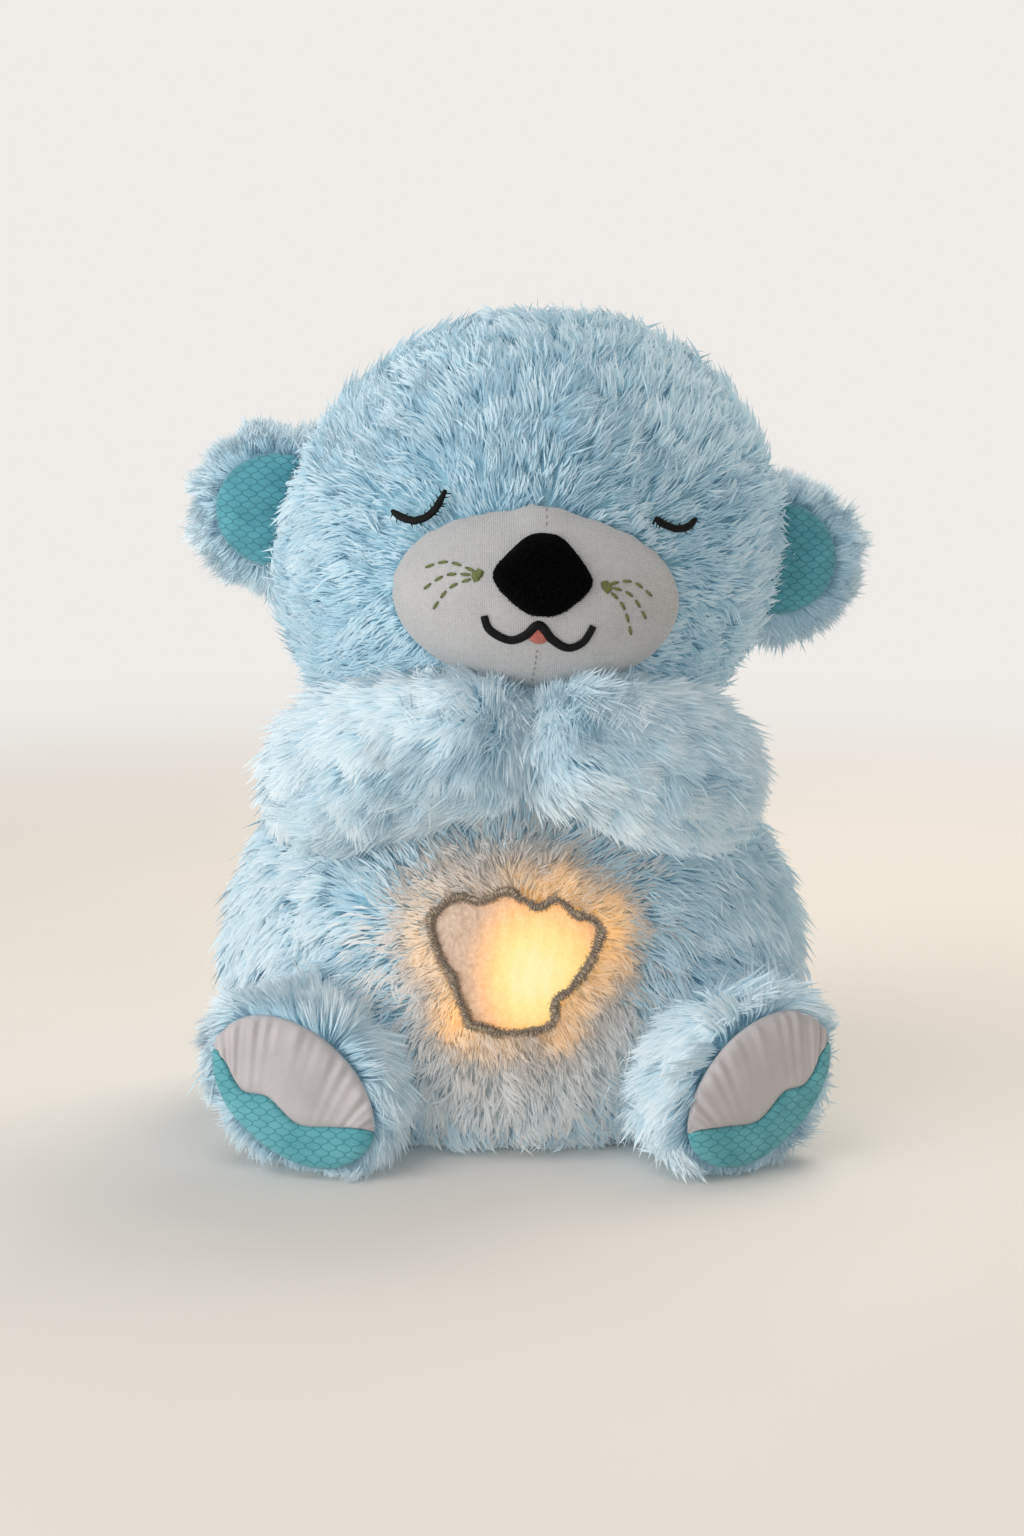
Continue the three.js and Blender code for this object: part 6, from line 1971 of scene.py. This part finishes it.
@dataclass
class PocketLooks:
    """Flap under the seat and its hook and loop strips."""

    inset: float = 2.5 * MM
    stitch: float = 2.0 * MM
    stitch_pitch: float = 3.0 * MM

    def pad(self, node: str, name: str, bevel: float) -> Piece:
        """A softened slab on a node's box."""
        low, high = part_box(node)
        bpy.ops.object.select_all(action="DESELECT")
        bpy.ops.mesh.primitive_cube_add(size=1, location=(low + high) / 2)
        piece = bpy.context.active_object
        piece.name = name
        piece.scale = high - low
        bpy.ops.object.transform_apply(location=True, rotation=False, scale=True)
        modify(piece, "BEVEL", width=bevel, segments=4)
        bpy.ops.object.shade_smooth()
        return piece

    def build(self) -> None:
        """Makes the flap and the strips."""
        flap = self.pad("pocket_flap", "pocket_flap_cloth", 0.7 * MM)
        settle(flap, "pocket_flap", Fabric("flap_cloth", "dbe5eb", "bccbd5"), ("pocket_flap",))
        low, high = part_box("pocket_flap")
        z = low.z - 0.02 * MM
        left, right = low.x + self.inset, high.x - self.inset
        front, back = low.y + self.inset, high.y - self.inset
        corners = [(left, front), (right, front), (right, back), (left, back)]
        width, height = mm(0.15, 0.25, 0.15), mm(0.1, 0.16, 0.1)
        down = np.tile((0.0, 0.0, -1.0), (3, 1))
        parts = []
        for a, b in zip(corners, corners[1:] + corners[:1]):
            a, b = np.array(a), np.array(b)
            length = np.linalg.norm(b - a)
            for start in np.arange(0.5 * MM, length - self.stitch, self.stitch_pitch):
                ends = [a + (b - a) * (start + k * self.stitch) / length for k in (0.0, 0.5, 1.0)]
                line = np.array([(*e, z) for e in ends])
                parts.append(tube("flap_stitch", line, down, width, height, 6))
        thread = Thread("flap_thread", "c9d3da", "a9b5bd")
        settle(joined("flap_stitches", parts), "pocket_flap", thread)
        for node in ("hook_strip", "loop_strip"):
            strip = self.pad(node, f"{node}_tape", 0.25 * MM)
            body = "pocket_flap" if node == "hook_strip" else "torso"
            settle(strip, body, WHITE_TAPE, (node,))


class ModuleLooks:
    """Finishes of the light module's own parts, which keep their shape."""

    finishes: dict[str, Finish] = {
        "_shell": Plain("warm_white_shell", "efece5", "e2ded6", 0.45, 900.0, 0.00004),
        "battery_cover": Plain("warm_white_cover", "ebe8e1", "dedad2", 0.5, 700.0, 0.00005),
        "screw": Plain("zinc_steel", "c2c5c9", "9fa3a8", 0.3, 1800.0, 0.00003, 1.0),
        "contact": Plain("contact_steel", "c9ccd0", "a8acb1", 0.25, 1200.0, 0.00003, 1.0),
        "battery": Plain("battery_film", "565c63", "42474d", 0.35, 60.0, 0.00002, 0.2, 0.4),
        "light_dome": Plain("frosted_dome", "fbf5e4", "f1e8d2", 0.55, 1500.0, 0.00005),
        "lamp_board": Plain("board_lacquer", "2f7249", "255d3b", 0.35, 500.0, 0.00004, 0.0, 0.5),
        "lamp": Plain("lamp_lens", "ffeab0", "f4d98c", 0.15, 200.0, 0.00002, 0.0, 0.6),
        "reflector": Plain("white_reflector", "f5f3ee", "e9e6df", 0.2, 400.0, 0.00002, 0.0, 0.3),
        "touch_switch": Plain("black_switch", "232327", "131316", 0.4, 900.0, 0.00003),
        "power_switch": Plain("grey_switch", "666b72", "53585f", 0.45, 900.0, 0.00004),
    }

    def build(self) -> None:
        """Gives each rigid node its finish."""
        for name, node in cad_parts.items():
            if node.hide_render:
                continue
            key = max((k for k in self.finishes if k in name), key=len)
            node.data.materials.clear()
            node.data.materials.append(self.finishes[key].material())
            log.info("%s keeps its solid as %s", name, key)


@dataclass
class Studio:
    """Camera, lamps and floor."""

    distance: float = 1.06
    pitch: float = 9.0
    aim: float = 0.121
    lens: float = 70.0
    lamp_aim: float = 0.14
    pale: str = "efece8"
    room_light: str = "f8f1ea"
    room_strength: float = 0.4

    def camera(self) -> None:
        """The camera at the photograph's place."""
        data = bpy.data.cameras.new("camera")
        data.lens = self.lens
        data.sensor_width = 36.0
        data.clip_start, data.clip_end = 0.05, 20
        camera = bpy.data.objects.new("camera", data)
        pitch = math.radians(self.pitch)
        height = self.aim + self.distance * math.sin(pitch)
        camera.location = (0, -self.distance * math.cos(pitch), height)
        camera.rotation_euler = (math.radians(90) - pitch, 0, 0)
        bpy.context.collection.objects.link(camera)
        bpy.context.scene.camera = camera

    def lamp(self, name: str, place: Sequence[float], size: Pair, watts: float, colour: str) -> None:
        """A soft flat lamp, as wide and high as its size says, that looks at the toy."""
        data = bpy.data.lights.new(name, "AREA")
        data.shape = "RECTANGLE"
        data.energy, data.color = watts, linear(colour)[:3]
        data.size, data.size_y = size
        lamp = bpy.data.objects.new(name, data)
        lamp.location = place
        away = Vector(place) - Vector((0, 0, self.lamp_aim))
        lamp.rotation_euler = away.to_track_quat("Z", "Y").to_euler()
        bpy.context.collection.objects.link(lamp)

    def surroundings(self) -> None:
        """Floor, pale world and the view's settings."""
        bpy.ops.object.select_all(action="DESELECT")
        bpy.ops.mesh.primitive_plane_add(size=12)
        floor = bpy.context.active_object
        floor.name = "floor"
        n = Nodes("pale_floor")
        where = n.spot()
        colour = n.ramp(n.noise(where, 3.0, 2.0), [(0.3, "ebe8e4"), (0.7, "efece8")])
        length = n.add("ShaderNodeVectorMath", operation="LENGTH")
        n.join(where, length.inputs[0])
        away = n.add("ShaderNodeMapRange", interpolation_type="SMOOTHERSTEP")
        away.inputs["From Min"].default_value, away.inputs["From Max"].default_value = 0.3, 1.3
        n.join(length.outputs["Value"], away.inputs["Value"])
        fade = n.ramp(away.outputs[0], [(0.0, "000000"), (1.0, self.pale)])
        n.shine(fade, 1.0)
        colour = n.blend("MIX", away.outputs[0], colour, "000000")
        floor.data.materials.append(n.surface(colour, 0.9, Specular_IOR_Level=0.0))
        world = bpy.data.worlds.new("studio")
        bpy.context.scene.world = world
        world.use_nodes = True
        tree = world.node_tree
        tree.nodes.clear()
        out = tree.nodes.new("ShaderNodeOutputWorld")
        light, seen = (tree.nodes.new("ShaderNodeBackground") for _ in range(2))
        mix = tree.nodes.new("ShaderNodeMixShader")
        path = tree.nodes.new("ShaderNodeLightPath")
        light.inputs[0].default_value = linear(self.room_light)
        light.inputs[1].default_value = self.room_strength
        seen.inputs[0].default_value = linear(self.pale)
        seen.inputs[1].default_value = 1.0
        tree.links.new(path.outputs["Is Camera Ray"], mix.inputs[0])
        tree.links.new(light.outputs[0], mix.inputs[1])
        tree.links.new(seen.outputs[0], mix.inputs[2])
        tree.links.new(mix.outputs[0], out.inputs[0])
        bpy.context.scene.view_settings.view_transform = "Standard"

    def build(self) -> None:
        """Sets the whole studio up."""
        self.camera()
        self.surroundings()
        self.lamp("key", (-1.1, -0.9, 0.32), (1.7, 0.6), 12.4, "fdfcfa")
        self.lamp("fill", (0.9, -0.8, 0.5), (0.9, 0.9), 0.3, "fffdf8")
        self.lamp("top", (-0.35, -0.5, 1.1), (0.7, 0.7), 2.6, "f8fbff")
        self.lamp("back", (0.4, 0.6, 1.1), (0.8, 0.8), 9.0, "fff4e4")


def main() -> None:
    """Builds the looks, sub-assembly by sub-assembly."""
    Studio().build()
    toy = Toy()
    TorsoLooks(toy).build()
    Window().build()
    HeadLooks(toy).build()
    for side in Side:
        ArmLooks(toy, side).build()
        LegLooks(toy, side).build()
    PocketLooks().build()
    ModuleLooks().build()


if __name__ == "__main__":
    main()
